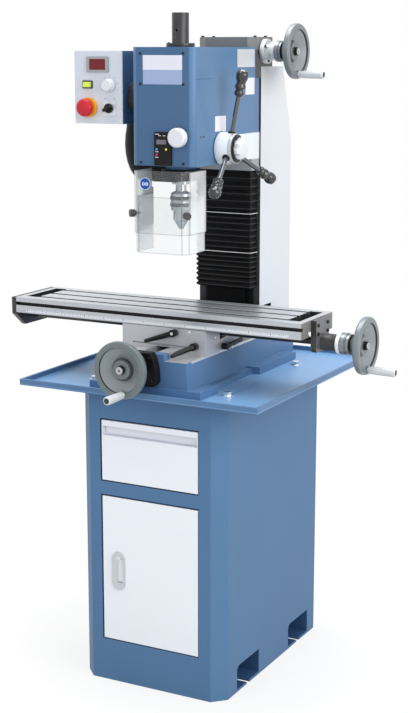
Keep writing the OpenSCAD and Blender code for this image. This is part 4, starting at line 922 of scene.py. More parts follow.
@dataclass
class FeedWheel:
    """A handwheel with its graduated dial and its turning handle."""

    axis: str
    facing: Facing
    centre: Point
    handle_at: Point
    dial: Plan
    tone: Colour = Colour(104, 114, 116)
    marks: int = 50
    dial_radius: float = 23.0
    hub_face: float = 26.0
    sleeve_long: float = 7.3
    bore: float = 8.05

    def build(self) -> None:
        """Dresses the wheel, dial and handle and adds the hub's end, the marks and the handle's washer."""
        axis = self.axis
        patches = (
            Patch((self._ring((20.4, 46.4), (0, 34.6)),), self.tone.mixed(WHITE, 0.18), 0.3, 0.1),
            # A dark ring on the rim's inner step and a darker ring round the hub's foot: painted shade.
            Patch((self._ring((46.3, 47.6), (25, 36.6)),), Colour(46, 51, 52), 0.5),
            Patch((self._ring((20.2, 24.6), (10, 19)),), Colour(60, 65, 66), 0.45, 0.3),
        )
        wheel = Finish(
            f"{axis}_wheel_grey", self.tone, 0.34, 0.3, coat=0.12, drift=0.05, grain=0.03, grain_size=1.6,
            fleck=0.04, patches=patches,
        )
        dress(f"{axis}_handwheel", wheel)
        dress(f"{axis}_dial", self._dial_finish())
        # A dark disc at the handle's end: painted shade that makes it read as hollow.
        end = RingZone(self.facing, self.handle_at, (0, 5.9), (57.2, 58.8))
        hollow_shade = Patch((end,), Colour(24, 31, 34), 0.4)
        grip = Finish(
            f"{axis}_handle_plastic", Colour(194, 198, 201), 0.34, coat=0.15, drift=0.04, fleck=0.02,
            grain=0.015, grain_size=0.8, patches=(hollow_shade,),
        )
        dress(f"{axis}_handle", grip)
        self._hub()
        self._dial()
        behind = self.facing.matrix(self.handle_at) @ Matrix.Translation((0, 0, -1.25))
        washer = Shape().ring(4.2, 8.0, 1.1, behind, 32)
        washer.done(f"{axis}_handle_washer", f"{axis}_wheel", BRIGHT_STEEL)

    def _ring(self, radii: Plan, along: Plan) -> RingZone:
        """Gives a zone round the wheel's axis."""
        return RingZone(self.facing, self.centre, radii, along)

    def _at(self, station: float) -> Matrix:
        """Gives the placing matrix at a station along the wheel's axis."""
        return self.facing.matrix(self.centre) @ Matrix.Translation((0, 0, station))

    def _dial_finish(self) -> Finish:
        """Gives the dial's steel, with a black collar next to the wheel and a dark band of painted shade for
        its groove.
        """
        start, length = self.dial
        bands = ((length * 0.5, length * 0.55), (length * 0.93, length + 1.0))
        zones = tuple(self._ring((14, 30), (start + near, start + far)) for near, far in bands)
        return Finish(
            f"{self.axis}_dial_steel", Colour(136, 142, 147), 0.3, 0.55, drift=0.05, fleck=0.05,
            fleck_size=0.6, grain=0.01, grain_size=0.5, patches=(Patch(zones, Colour(30, 31, 33), 0.4, 0.2),),
        )

    def _hub(self) -> None:
        """Adds the black sleeve at the hub and the bright screw end in it."""
        axis, body = self.axis, f"{self.axis}_wheel"
        bore, tall = self.bore, self.sleeve_long
        sleeve = [
            (bore, 0), (9.6, 0), (9.6, 1.2), (8.9, 1.8), (8.9, tall - 0.7), (8.3, tall), (bore, tall),
            (bore, 0),
        ]
        Shape().lathe(sleeve, self._at(self.hub_face)).done(f"{axis}_wheel_sleeve", body, BLACK_OXIDE)
        rim = [(1.9, -0.2), (7.0, -0.2), (7.0, 0.3), (6.6, 0.7), (2.4, 0.7), (1.9, -0.2)]
        end = self._at(self.hub_face + 8.02)
        bright = Shape().lathe(rim, end, 40)
        # The black disc in the middle of the screw end is painted shade of its centre hole.
        bright.lathe([(0, -0.1), (1.95, -0.1), (1.95, 0.02), (0, 0.02)], end, 24, 1)
        steel = Finish(
            "screw_end_steel", Colour(176, 179, 180), 0.3, 0.6, drift=0.06, fleck=0.05, grain=0.008
        )
        bright.done(f"{axis}_screw_end", body, steel, BLACK_OXIDE, slot="bright_steel")

    def _dial(self) -> None:
        """Adds the dial's marks."""
        start, length = self.dial
        shape = Shape()
        for number in range(self.marks):
            tall = length * (0.24 if number % 5 == 0 else 0.15)
            spot = rib_spot(number, self.marks, self.dial_radius - 0.12, tall / 2 + 0.6)
            shape.plate((tall, 0.55, 0.2), self._at(start) @ spot, 0, 0)
        shape.done(f"{self.axis}_dial_marks", f"{self.axis}_dial", BLACK_PLASTIC)


# ---------------------------------------------------------------- column and head


@dataclass
class Column:
    """The cast column with its gearbox, bellows and way cover."""

    crank: Point = (0.0, 135.0, 1372.5)
    rails: tuple[Plan, Plan, Plan] = ((-78.0, 78.0), (99.0, 118.4), (744.0, 1318.0))
    half_well: float = 62.0
    lit_top_high: float = 28.0
    reach: Plan = (86.2, 117.6)
    half_wide: float = 71.3
    fold: float = 3.6
    cut: float = 3.0
    band: float = 1.5
    first_crest: float = 848.8
    crests: tuple[float, ...] = (
        0, 11.8, 23.8, 34.9, 45.1, 57.1, 67.1, 78.2, 89.0, 101.4, 115.4, 129.2, 143.8, 156.0, 166.6, 177.6,
        194.5, 211.2, 227.6, 246.1,
    )
    pale_crests: tuple[int, ...] = (7, 14)
    flange_face: float = 87.0
    flange_circle: float = 21.0
    screw_inset: float = 12.0
    shade_sheet: Point = (94.0, 38.6, 0.5)
    shade_sheet_at: Point = (0.0, 99.7, 825.4)

    def build(self) -> None:
        """Dresses the column and everything fixed to it."""
        across, deep, tall = self.rails
        # The rails are painted dark grey and the well between them near-black: painted shade in the recess
        # behind the table.
        bare = Patch((within("column", across, deep, tall),), Colour(58, 61, 64), 0.4, 0.2)
        well = Patch((within("column", (-self.half_well, self.half_well), deep, tall),), Colour(8, 8, 9), 0.6)
        column = Finish(
            "column_white_paint", Colour(214, 218, 223), 0.38, coat=0.08, spec=0.35, drift=0.025,
            drift_size=260, grain=0.05, grain_size=3.0, fleck=0.012, patches=(bare, well),
        )
        dress("column", column, 1.2)
        # The screw is painted dark: partly grease, partly painted shade in the recess behind the table.
        grease_and_shade = Finish(
            "screw_grease_and_shade", Colour(92, 88, 82), 0.28, 0.8, drift=0.15, drift_size=20, grain=0.03
        )
        dress("z_screw", grease_and_shade)
        # The band along the gearbox's top is painted lighter: painted light where the top catches the lamps.
        roof = high("z_gearbox").z
        lid = within("z_gearbox", z=(roof - self.lit_top_high, roof + MARGIN))
        cap = Patch((lid,), Colour(108, 109, 109), 0.42, 0.1)
        drum = Patch((self._round_crank((0, 30), (77.2, 125)),), Colour(206, 210, 214), 0.32, 0.45)
        gearbox = Finish(
            "gearbox_black", Colour(58, 57, 59), 0.45, 0.1, coat=0.1, drift=0.08, grain=0.05, grain_size=2.0,
            patches=(cap, drum),
        )
        dress("z_gearbox", gearbox, 0.8)
        pale = Patch((self._round_crank((9, 30), (76, 87.4)),), Colour(214, 217, 220), 0.34, 0.3)
        shaft = Finish(
            "shaft_steel", Colour(176, 180, 184), 0.26, 0.9, drift=0.06, fleck=0.05, grain=0.01,
            patches=(pale,),
        )
        dress("z_shaft", shaft)
        dress("way_cover", RUBBER, 0.4)
        self._bellows()
        # A near-black sheet in front of the rails: painted shade behind the table.
        shade_sheet = Finish("shade_sheet_black", Colour(9, 9, 10), 0.6, spec=0.1, drift=0.1, grain=0.02)
        plate = Shape().plate(self.shade_sheet, Facing.FRONT.matrix(self.shade_sheet_at), 1.0, 0.2)
        plate.done("way_shade_sheet", "root", shade_sheet, slot="rubber")
        self._gearbox_screws()

    def _round_crank(self, radii: Plan, along: Plan) -> RingZone:
        """Gives a zone round the crank's axis."""
        return RingZone(Facing.RIGHT, self.crank, radii, along)

    def _bellows(self) -> None:
        """Builds the pleated cover between the column and the head."""
        floor, roof = low("bellows").z, high("bellows").z
        part = bmesh.new()
        loop = [part.verts.new((x, y, floor)) for x, y in self._outline(self.fold)]
        edges = [part.edges.new(pair) for pair in zip(loop, loop[1:] + loop[:1])]
        part.faces.new(list(reversed(loop)))
        levels = [self.first_crest + rise for rise in self.crests]
        for number, level in enumerate(levels):
            valley = (level + levels[number + 1]) / 2 if number + 1 < len(levels) else roof
            edges = self._raise(part, edges, level - self.band / 2, 0.0, 0)
            tone = 2 if number in self.pale_crests else 1
            edges = self._raise(part, edges, level + self.band / 2, 0.0, tone)
            edges = self._raise(part, edges, valley, self.fold, 0)
        bmesh.ops.contextual_create(part, geom=edges)
        bmesh.ops.recalc_face_normals(part, faces=part.faces)
        crest = Finish(
            "bellows_crest", Colour(50, 50, 51), 0.4, spec=0.25, drift=0.25, drift_size=30, grain=0.03
        )
        pale = Finish("bellows_band", Colour(214, 214, 212), 0.5, drift=0.05, grain=0.02)
        shape = Shape().join(part, Matrix.Identity(4))
        piece = shape.done("pleated_bellows", "", RUBBER, crest, pale, smooth=20)
        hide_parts("bellows")
        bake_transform(piece)

    def _outline(self, inset: float) -> list[Plan]:
        """Gives the plan of the bellows at an inset, a rectangle with cut front corners."""
        half, front, back, cut = self.half_wide - inset, self.reach[0] + inset, self.reach[1], self.cut
        return [
            (-half, back), (-half, front + cut), (-half + cut, front), (0, front),
            (half - cut, front), (half, front + cut), (half, back), (0, back),
        ]

    def _raise(self, part: bmesh.types.BMesh, edges: Edges, z: float, inset: float, slot: int) -> Edges:
        """Extrudes an outline up to the next one.

        Args:
            part: The mesh.
            edges: The last outline's edges.
            z: The next outline's height.
            inset: The next outline's inset.
            slot: The material number of the faces between them.

        Returns:
            The new outline's edges.
        """
        grown = bmesh.ops.extrude_edge_only(part, edges=edges)["geom"]
        plan = self._outline(inset)
        for vert in (item for item in grown if isinstance(item, bmesh.types.BMVert)):
            side = round(vert.co.x / self.half_wide)
            same_side = [spot for spot in plan if round(spot[0] / self.half_wide) == side]
            near = min(same_side, key=lambda spot: abs(spot[0] - vert.co.x) + abs(spot[1] - vert.co.y))
            vert.co = Vector((*near, z))
        for item in grown:
            if isinstance(item, bmesh.types.BMFace):
                item.material_index = slot
        new_edges = (item for item in grown if isinstance(item, bmesh.types.BMEdge))
        return [edge for edge in new_edges if all(abs(v.co.z - z) < 0.01 for v in edge.verts)]

    def _gearbox_screws(self) -> None:
        """Adds the dark screws in the flange of the crank's shaft and on top of the gearbox."""
        _, y, z = self.crank
        flange = [(self.flange_face, y + a, z + b) for a, b in round_spots(3, 150, self.flange_circle)]
        shape = Shape().cap_screws(3.0, 1.6, Facing.RIGHT, flange)
        corner, top = low("z_gearbox"), high("z_gearbox")
        across = (corner.x + self.screw_inset, -corner.x - self.screw_inset)
        deep = (corner.y + self.screw_inset, top.y - self.screw_inset)
        shape.cap_screws(3.6, 3.0, Facing.UP, [(x, y, top.z) for x in across for y in deep])
        shape.done("gearbox_screws", "root", BLACK_OXIDE)


@dataclass
class Head:
    """The head casting with its cover, plates, readout, slide and drawbar cover."""

    cover_screw_x: float = 50.5
    cover_screw_z: Point = (1368.6, 1306.7, 1145.5)
    grub_screws: tuple[Plan, ...] = ((-161.0, 2.1), (-148.0, 2.6))
    grub_z: float = 1199.0
    grub_x: float = 74.0
    seam: tuple[Plan, Plan, Plan] = ((73.0, 75.0), (-191.0, -114.0), (1316.4, 1317.6))
    under_gearbox: tuple[Plan, Plan, Plan] = ((-90.0, 90.0), (0.0, 130.0), (1100.0, 1138.4))
    name_at: Plan = (2.0, 1335.5)
    readout: Plan = (4.0, 1175.0)
    drawbar_y: float = -137.0
    flange_high: float = 8.0
    flange_circle: float = 24.5

    def build(self) -> None:
        """Dresses the head's solids and adds its plates, screws and readout face."""
        seam = Patch((within("head_casting", *self.seam),), Colour(60, 88, 120), 0.5)
        paint = {"rough": 0.38, "coat": 0.08, "grain_size": 3.0}
        casting = replace(
            CAST_BLUE, name="head_blue_paint", colour=Colour(86, 121, 158), drift_size=110, patches=(seam,),
            **paint,
        )
        dress("head_casting", casting, 1.0)
        smoother = paint | {"drift": 0.03, "grain": 0.03, "grain_size": 2.0}
        dress("front_cover", replace(CAST_BLUE, name="cover_blue_paint", colour=DEEP_BLUE, **smoother), 0.5)
        under = Patch((within("z_slide", *self.under_gearbox),), Colour(152, 156, 160), 0.45)
        slide = Finish(
            "slide_white_paint", WHITE, 0.36, coat=0.25, drift=0.03, grain=0.05, grain_size=3.0, fleck=0.015,
            patches=(under,),
        )
        dress("z_slide", slide, 0.8)
        tube = Finish("drawbar_black", Colour(48, 47, 49), 0.36, 0.3, coat=0.15, drift=0.08, grain=0.02)
        dress("drawbar_cover", tube, 0.5)
        dress("fine_feed_knob", OFF_WHITE)
        self._cover_screws()
        self._plates()
        self._readout()
        flange = low("drawbar_cover").z + self.flange_high
        spots = [(x, self.drawbar_y + y, flange) for x, y in round_spots(3, 30, self.flange_circle)]
        Shape().cap_screws(2.4, 1.6, Facing.UP, spots).done("drawbar_screws", "head", BLACK_OXIDE)

    def _cover_screws(self) -> None:
        """Adds the six screws of the front cover and the two grub screws on the head's side."""
        front, half = low("front_cover").y, self.cover_screw_x
        spots = [(x, front, z) for z in self.cover_screw_z for x in (-half, half)]
        shape = Shape().cap_screws(2.6, 1.3, Facing.FRONT, spots)
        for y, radius in self.grub_screws:
            shape.ring(0.0, radius, 0.25, Facing.RIGHT.matrix((self.grub_x, y, self.grub_z)), 20)
        shape.done("cover_screws", "head", BLACK_OXIDE)

    def _plates(self) -> None:
        """Adds the bare name plate and the bare labels on the head's right side."""
        x, z = self.name_at
        lower_half = BoxZone((x - 62, -200, z - 36), (x + 58, -180, z))
        plate = Finish(
            "name_plate_face", Colour(219, 220, 232), 0.4, spec=0.3, drift=0.02, grain=0.005,
            patches=(Patch((lower_half,), Colour(150, 167, 202), 0.4),),
        )
        name = Shape().plate((92, 59, 0.9), Facing.FRONT.matrix((x, low("front_cover").y, z)), 1.2)
        name.done("name_plate", "head", plate, slot="white_plastic")
        white = Finish("label_white", Colour(226, 227, 235), 0.4, spec=0.3, drift=0.02, grain=0.004)
        silver = Finish(
            "label_silver", Colour(208, 210, 216), 0.34, 0.15, drift=0.04, fleck=0.04, stretch=(1, 30, 1),
            grain=0.005,
        )
        side = high("head_casting").x
        for piece, size, (y, z), corner, edge, finish, slot in (
            ("hub_label", (49, 32, 0.4), (-72.5, 1223.0), 1.0, 0.1, white, "white_plastic"),
            ("data_plate", (84, 38, 0.6), (48.0, 1358.0), 1.5, 0.2, silver, "bright_steel"),
            ("side_label", (44, 36, 0.4), (68.0, 1298.0), 1.0, 0.1, white, "white_plastic"),
        ):
            label = Shape().plate(size, Facing.RIGHT.matrix((side, y, z)), corner, edge)
            label.done(piece, "head", finish, slot=slot)

    def _readout(self) -> None:
        """Dresses the depth readout and adds its window, its coloured keys and the pale bars beside them."""
        front = low("depth_readout").y
        middle, level = self.readout
        case = Finish(
            "readout_case", Colour(20, 18, 21), 0.34, spec=0.2, drift=0.08, grain=0.015, grain_size=0.7
        )
        dress("depth_readout", case, 0.3)
        window = Finish("readout_window", Colour(104, 104, 116), 0.3, coat=0.1, drift=0.04, grain=0.004)
        place = Facing.FRONT.matrix((middle - 3.0, front + 1.2, level + 14.0))
        pane = Shape().plate((23, 9.4, 0.5), place, 0.4, 0.1)
        pane.done("readout_display", "head", window, slot="grey_paint")
        key = [(0, 0), (2.5, 0), (2.5, 0.5), (2.2, 0.9), (0, 1.1)]
        for name, x, z, colour in (
            ("readout_key_blue", -13.5, -1.0, Colour(70, 150, 200)),
            ("readout_key_yellow", 9.0, -1.0, Colour(226, 226, 90)),
            ("readout_key_red", -13.5, -12.5, Colour(196, 60, 84)),
        ):
            cap = Finish(f"{name}_cap", colour, 0.35, spec=0.3, drift=0.03, grain=0.004)
            place = Facing.FRONT.matrix((middle + x, front, level + z))
            Shape().lathe(key, place, 28).done(name, "head", cap)
        bars = Shape()
        spots = ((-12.5, 30.0, 9), (-6.5, 27.0, 6), (4.0, 27.0, 6), (-13.5, -6.0, 7), (-13.5, -17.5, 7))
        for x, z, wide in spots:
            bars.plate((wide, 1.5, 0.12), Facing.FRONT.matrix((middle + x, front + 0.8, level + z)), 0.3, 0)
        bars.done("readout_bars", "head", OFF_WHITE)


@dataclass
class Motor:
    """The drive motor beside the head."""

    def build(self) -> None:
        """Dresses the motor."""
        black = Finish(
            "motor_black", Colour(17, 17, 18), 0.5, spec=0.12, drift=0.1, grain=0.06, grain_size=2.2
        )
        dress("motor", black, 0.6)


@dataclass
class ControlBox:
    """The control box on its arm, with display, buttons and switches."""

    display: Plan = (-167.0, 1345.5)
    start: Plan = (-193.0, 1303.5)
    start_half: Plan = (15.0, 11.0)
    speed: Plan = (-138.5, 1302.5)
    stop: Plan = (-190.0, 1255.5)
    mode: Plan = (-139.0, 1254.5)
    mode_half: Plan = (18.0, 18.0)
    neck: tuple[Plan, Plan, Plan] = ((-107.8, -72.0), (-160.0, -70.0), (1235.0, 1318.0))
    panel_wide: float = 118.0

    def build(self) -> None:
        """Dresses the box and its controls and adds the display and the small marks."""
        panel = self._panel()
        face = Patch((within("control_box", y=(panel - MARGIN, panel + 2.6)),), Colour(202, 209, 220), 0.42)
        neck = Patch((within("control_box", *self.neck),), Colour(34, 34, 36), 0.5)
        box = replace(
            CAST_BLUE, name="box_blue_paint", colour=Colour(66, 100, 138), rough=0.38, drift=0.04, grain=0.03,
            grain_size=2.0, patches=(face, neck),
        )
        dress("control_box", box, 0.5)
        self._fittings()
        red = Finish("stop_red", Colour(188, 24, 42), 0.3, coat=0.08, spec=0.35, drift=0.03, grain=0.006)
        dress("estop_button", red, 0.4)
        lens_at = (self.start[0], -176.0, self.start[1])
        dress("start_button", LitFinish("start_lens", Colour(204, 228, 84), 0.34, lens_at, 12), 0.3)
        dress("speed_knob", OFF_WHITE, 0.3)
        dress("mode_switch", BLACK_PLASTIC, 0.3)
        window = Finish(
            "display_window", Colour(108, 20, 30), 0.25, coat=0.1, spec=0.3, drift=0.05, grain=0.003
        )
        pane = Shape().plate((39.4, 22.4, 0.7), self._spot(self.display, 2.4), 0.8, 0.2)
        pane.done("speed_display", "head", window, slot="red_plastic")
        self._marks()
        self._panel_screws()

    def _panel(self) -> float:
        """Gives the Y of the panel's face."""
        return low("control_box").y

    def _spot(self, at: Plan, proud: float = 0.0, turn: float = 0.0) -> Matrix:
        """Gives the placing matrix of something on the panel, or a little in front of it."""
        return Facing.FRONT.matrix((at[0], self._panel() - proud, at[1]), turn)

    def _frame_zone(self, at: Plan, half: Plan) -> BoxZone:
        """Gives the zone of a frame round a button or a switch."""
        panel = self._panel()
        across, tall = (at[0] - half[0], at[0] + half[0]), (at[1] - half[1], at[1] + half[1])
        return within("panel_fittings", across, (panel - 8, panel + 2), tall)

    def _fittings(self) -> None:
        """Dresses the row of frames and collars on the panel."""
        collar = RingZone(Facing.FRONT, (self.stop[0], self._panel(), self.stop[1]), (0, 22), (-2, 12))
        patches = (
            Patch((collar,), Colour(240, 164, 16), 0.36),
            Patch((self._frame_zone(self.mode, self.mode_half),), Colour(212, 216, 222), 0.3, 0.3),
            Patch((self._frame_zone(self.start, self.start_half),), Colour(52, 54, 50), 0.4),
        )
        grey = Finish(
            "panel_fittings_grey", Colour(150, 155, 160), 0.36, 0.1, coat=0.1, drift=0.04, grain=0.01,
            patches=patches,
        )
        dress("panel_fittings", grey, 0.4)

    def _marks(self) -> None:
        """Adds the plain marks round the speed knob and the mode switch."""
        shape = Shape()
        for turn in range(-120, 121, 40):
            angle = math.radians(turn)
            x, z = self.speed[0] + 20 * math.sin(angle), self.speed[1] + 20 * math.cos(angle)
            shape.plate((0.7, 3.0, 0.1), self._spot((x, z), turn=-turn), 0, 0)
        x, z = self.mode
        for side in (-1, 1):
            shape.plate((0.8, 5.0, 0.1), self._spot((x + side * 12, z + 20), turn=side * 40), 0, 0)
        shape.plate((0.8, 4.0, 0.1), self._spot((x, z + 12.5), 3.0), 0, 0)
        shape.done("panel_marks", "head", BLACK_PLASTIC)

    def _panel_screws(self) -> None:
        """Adds the round-headed screws at the panel's corners."""
        corner, top, inset = low("control_box"), high("control_box"), 5.0
        screw = [(0, 0), (2.4, 0), (2.2, 0.7), (1.2, 1.1), (0, 1.2)]
        shape = Shape()
        for x in (corner.x + inset, corner.x + self.panel_wide - inset):
            for z in (corner.z + inset, top.z - inset):
                shape.lathe(screw, self._spot((x, z)), 20)
        shape.done("panel_screws", "head", BRIGHT_STEEL)


@dataclass
class QuillFeed:
    """The capstan with its three levers and the star knob."""

    centre: Point = (0.0, -72.2, 1171.5)
    root_x: float = 94.4
    shade_ring_x: float = 113.5
    levers: int = 3
    phase: float = 2.0
    tilt: float = 12.4
    hub_radius: float = 33.5

    def build(self) -> None:
        """Dresses the hub, levers and knob and adds the rings between them."""
        patches = (
            Patch((self._ring((19.5, 36), (106.5, 116)),), Colour(176, 179, 182), 0.34, 0.3),
            # Near-black on the hub's face under the star knob: painted shade of the gap behind it.
            Patch((self._ring((0, 21), (112.6, 115)),), Colour(30, 30, 32), 0.5),
        )
        hub = Finish(
            "capstan_white", Colour(228, 232, 237), 0.3, coat=0.25, drift=0.03, grain=0.03, grain_size=2.4,
            fleck=0.012, patches=patches,
        )
        dress("capstan_hub", hub)
        rod = Patch((self._ring((20, 108), (60, 220)),), Colour(96, 98, 102), 0.2, 0.85)
        grips = Finish(
            "lever_black", Colour(38, 37, 39), 0.16, 0.1, coat=0.6, drift=0.08, grain=0.01, patches=(rod,)
        )
        dress("quill_levers", grips)
        dress("feed_knob", OFF_WHITE, 0.5)
        self._rings()

    def _ring(self, radii: Plan, along: Plan) -> RingZone:
        """Gives a zone round the capstan's axis."""
        return RingZone(Facing.RIGHT, self.centre, radii, along)

    def _rings(self) -> None:
        """Adds a black ring of painted shade round the star knob's stem, and the collars where the levers
        screw in.
        """
        _, y, z = self.centre
        outline = [(20.5, 0), (29.5, 0), (29.5, 0.8), (28.6, 1.4), (21.2, 1.4), (20.5, 0.8), (20.5, 0)]
        shade_ring = Shape().lathe(outline, Facing.RIGHT.matrix((self.shade_ring_x, y, z)), 64)
        shade_ring.done("capstan_shade_ring", "capstan", BLACK_PLASTIC)
        nuts = Shape()
        start = self.hub_radius / math.cos(math.radians(self.tilt)) - 2.0
        outline = [(5.05, 0), (8.2, 0), (8.2, 3.4), (7.4, 4.4), (5.8, 4.8), (5.05, 4.8), (5.05, 0)]
        root = Matrix.Translation((self.root_x, y, z))
        lean = Matrix.Rotation(math.radians(self.tilt), 4, "Y") @ Matrix.Translation((0, 0, start))
        for number in range(self.levers):
            swing = Matrix.Rotation(math.radians(self.phase + 360 * number / self.levers), 4, "X")
            nuts.lathe(outline, root @ swing @ lean, 32)
        nuts.done("lever_collars", "capstan", BLACK_OXIDE)


@dataclass
class SpindleNose:
    """The quill, the spindle and the drill chuck."""

    chuck_top: Point = (0.0, -112.0, 1081.5)
    radius: float = 23.0
    bands: tuple[Plan, ...] = ((11.6, 18.9), (25.6, 32.9))
    knurls: int = 60

    def build(self) -> None:
        """Dresses the turned parts and adds the chuck's knurled bands."""
        dress("quill", TURNED_STEEL)
        dress("spindle", TURNED_STEEL)
        bands = tuple(RingZone(Facing.DOWN, self.chuck_top, (20.0, 24.0), band) for band in self.bands)
        chuck = Finish(
            "chuck_steel", Colour(190, 194, 199), 0.26, 0.7, drift=0.08, fleck=0.05, fleck_size=0.5,
            grain=0.01, patches=(Patch(bands, Colour(12, 14, 18), 0.5),),
        )
        dress("drill_chuck", chuck, 0.3)
        ribs = Shape()
        for number in range(self.knurls):
            for start, end in self.bands:
                spot = rib_spot(number, self.knurls, self.radius - 0.15, (start + end) / 2)
                ribs.plate((end - start - 0.6, 1.1, 0.4), Facing.DOWN.matrix(self.chuck_top) @ spot, 0, 0.12)
        knurl = Finish("knurl_steel", Colour(24, 26, 30), 0.45, 0.1, drift=0.1, grain=0.01)
        ribs.done("chuck_knurls", "spindle", knurl, slot="bright_steel")


@dataclass
class Guard:
    """The clear guard round the cutter, with its sliding panel and clamp knobs."""

    chamfer: float = 13.5
    panel_inset: float = 3.3
    line: float = 1.8
    sign: Plan = (-33.0, 1102.5)

    def build(self) -> None:
        """Dresses the guard's clear walls and its fittings and adds its sign."""
        dress("guard_bracket", BLACK_PAINT, 0.5)
        hinge = Finish("hinge_plate_grey", Colour(120, 122, 124), 0.34, 0.4, drift=0.05, grain=0.01)
        dress("guard_hinge_plate", hinge, 0.3)
        lines = self._lines("guard_shield", 0.0)
        dress("guard_shield", ClearFinish("guard_clear", Colour(236, 238, 240), 0.04, 0.46, lines=lines))
        lines = self._lines("guard_panel", self.panel_inset)
        dress("guard_panel", ClearFinish("guard_panel_clear", Colour(238, 240, 244), 0.07, 0.5, 0.1, lines))
        knob = Finish("knob_grey", Colour(58, 57, 60), 0.36, spec=0.3, drift=0.06, grain=0.02)
        for side in ("left", "right"):
            dress(f"guard_knob_{side}", knob, 0.2)
        self._label()

    def _lines(self, node: str, inset: float) -> tuple[tuple[BoxZone, float], ...]:
        """Gives the zones of a wall's corners and rims that get grey lines of painted shade.

        Args:
            node: The wall's node.
            inset: How far the wall lies inside the outer one.

        Returns:
            A strip at each upright corner and along the lower and the upper rim, each with how much painted
            shade it gets, more at the left corners than at the right.
        """
        corner, top = low(node), high(node)
        cut = self.chamfer - (2 - math.sqrt(2)) * inset
        half = self.line / 2
        zones = [
            (within(node, z=(corner.z - MARGIN, corner.z + self.line)), 0.2),
            (within(node, z=(top.z - self.line, top.z + MARGIN)), 0.2),
        ]
        for side, outer, dark in ((-1, corner.x, 0.78), (1, top.x, 0.5)):
            for x, y in ((outer, corner.y + cut), (outer - side * cut, corner.y)):
                zones.append((within(node, (x - half, x + half), (y - half, y + half)), dark))
        return tuple(zones)

    def _label(self) -> None:
        """Adds the round blue sign with a plain pair of goggles at the guard's front corner."""
        blue = Finish("round_label_blue", Colour(24, 78, 158), 0.35, spec=0.25, drift=0.03, grain=0.004)
        pale = Finish("round_label_rim", Colour(208, 218, 234), 0.35, spec=0.25, drift=0.02, grain=0.004)
        (x, z), front = self.sign, low("guard_shield").y
        place = Facing.FRONT.matrix((x, front, z))
        shape = Shape().ring(0.0, 13.0, 0.2, place, 48, 1).ring(0.0, 11.8, 0.3, place, 48)
        for side in (-1, 1):
            shape.ring(1.6, 3.6, 0.4, Facing.FRONT.matrix((x + side * 3.9, front, z - 0.5)), 24, 1)
        shape.done("guard_label", "guard", blue, pale)


# ---------------------------------------------------------------- room, lamps and camera


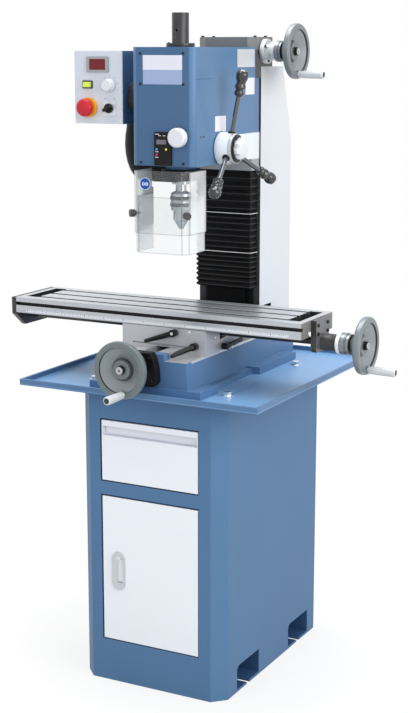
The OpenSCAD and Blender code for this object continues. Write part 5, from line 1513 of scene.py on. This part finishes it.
@dataclass
class Studio:
    """The pale floor, the soft lamps and the camera."""

    camera_at: Point = (1500.1, -2840.2, 1375.9)
    yaw: float = 27.9
    pitch: float = 11.9
    lens: float = 73.51
    floor_white: float = 0.5
    floor_fade: Plan = (1.3, 3.2)
    floor_glow: Plan = (0.62, 1.27)
    sky_light: float = 0.55

    def build(self) -> None:
        """Adds the floor, the world, the lamps and the camera."""
        self._floor()
        self._world()
        self._lamp("key_lamp", (3000, -1100, 1900), (0, 0, 800), 2400, 74)
        self._lamp("fill_lamp", (-200, -3700, 1700), (0, 0, 700), 2600, 36, shine=False)
        self._lamp("top_lamp", (-200, 300, 3600), (0, 0, 900), 2400, 105)
        self._camera()

    def _seen(self, tree: Tree) -> Socket:
        """Gives 1 to the camera and to mirrored rays, and 0 to the soft light between surfaces."""
        return tree.math("SUBTRACT", 1.0, tree.add("LightPath").outputs["Is Diffuse Ray"])

    def _floor_material(self) -> bpy.types.Material:
        """Gives a matt white that shows lighter to the camera the further it lies from the object."""
        tree = Tree(bpy.data.materials.new("studio_floor_white"))
        away = tree.add("VectorMath", {0: tree.here}, operation="LENGTH").outputs["Value"]
        near, far = self.floor_fade
        share, glow = (
            tree.add("MapRange", {"Value": away, 1: near, 2: far, 3: start, 4: 1.0}).outputs[0]
            for start in self.floor_glow
        )
        matt = tree.add("BsdfDiffuse", {"Color": (self.floor_white, self.floor_white, self.floor_white, 1)})
        lit = tree.add("Emission", {"Color": (1, 1, 1, 1), "Strength": glow})
        shown = tree.math("MULTIPLY", self._seen(tree), share)
        return tree.close(tree.add("MixShader", {0: shown, 1: matt.outputs[0], 2: lit.outputs[0]}))

    def _floor(self) -> None:
        """Adds a wide floor disc."""
        part = bmesh.new()
        bmesh.ops.create_circle(part, cap_ends=True, segments=96, radius=9.0)
        mesh = bpy.data.meshes.new("studio_floor")
        part.to_mesh(mesh)
        part.free()
        floor = bpy.data.objects.new("studio_floor", mesh)
        bpy.context.scene.collection.objects.link(floor)
        mesh.materials.append(self._floor_material())

    def _world(self) -> None:
        """Sets the white surroundings, which light the object less than they show."""
        world = bpy.data.worlds.new("studio_world")
        bpy.context.scene.world = world
        tree = Tree(world, "OutputWorld")
        strength = tree.add("MapRange", {"Value": self._seen(tree), "To Min": self.sky_light, "To Max": 1.0})
        tree.close(tree.add("Background", {"Color": (1, 1, 1, 1), "Strength": strength.outputs[0]}))

    def _lamp(
        self, name: str, at: Point, target: Point, size: float, power: float, shine: bool = True
    ) -> None:
        """Adds a square soft lamp.

        Args:
            name: The lamp's name.
            at: Where it stands.
            target: The point it's aimed at.
            size: The length of its side.
            power: Its power in watts.
            shine: Whether glossy surfaces mirror it.
        """
        lamp = bpy.data.lights.new(name, "AREA")
        lamp.energy = power
        lamp.size = size * MM
        stand = bpy.data.objects.new(name, lamp)
        stand.location = Vector(at) * MM
        stand.visible_glossy = shine
        stand.rotation_mode = "QUATERNION"
        stand.rotation_quaternion = (Vector(target) - Vector(at)).to_track_quat("-Z", "Y")
        bpy.context.scene.collection.objects.link(stand)

    def _camera(self) -> None:
        """Adds the camera and makes it the scene's own."""
        data = bpy.data.cameras.new("studio_camera")
        data.lens = self.lens
        data.sensor_width = 36.0
        data.clip_end = 50.0
        camera = bpy.data.objects.new("studio_camera", data)
        camera.location = Vector(self.camera_at) * MM
        camera.rotation_euler = (math.radians(90 - self.pitch), 0, math.radians(self.yaw))
        bpy.context.scene.collection.objects.link(camera)
        bpy.context.scene.camera = camera
        bpy.context.scene.view_settings.view_transform = "Standard"


def feed_wheels() -> tuple[FeedWheel, ...]:
    """Gives the handwheels of the saddle, the table and the head."""
    right = Facing.RIGHT
    x_tone, z_tone = Colour(116, 124, 128), Colour(116, 123, 126)
    return (
        FeedWheel("y", Facing.FRONT, (0, -341.0, 739.0), (6.96, -378.3, 689.5), (-32.0, 30.0)),
        FeedWheel("x", right, (400.4, -112.0, 784.5), (437.7, -112, 734.5), (-22.5, 21.0), x_tone),
        FeedWheel("z", right, (124.8, 135.0, 1372.5), (162.1, 135, 1322.5), (-15.5, 14.0), z_tone),
    )


def main() -> None:
    """Builds the dressed model and the studio."""
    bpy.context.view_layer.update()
    lower = (CabinetStand(), ChipTray(), Base(), Saddle(), Table(), *feed_wheels(), Column())
    upper = (Head(), Motor(), ControlBox(), QuillFeed(), SpindleNose(), Guard())
    for part in (*lower, *upper, Studio()):
        LOG.info("building %s", type(part).__name__)
        part.build()


if __name__ == "__main__":
    main()
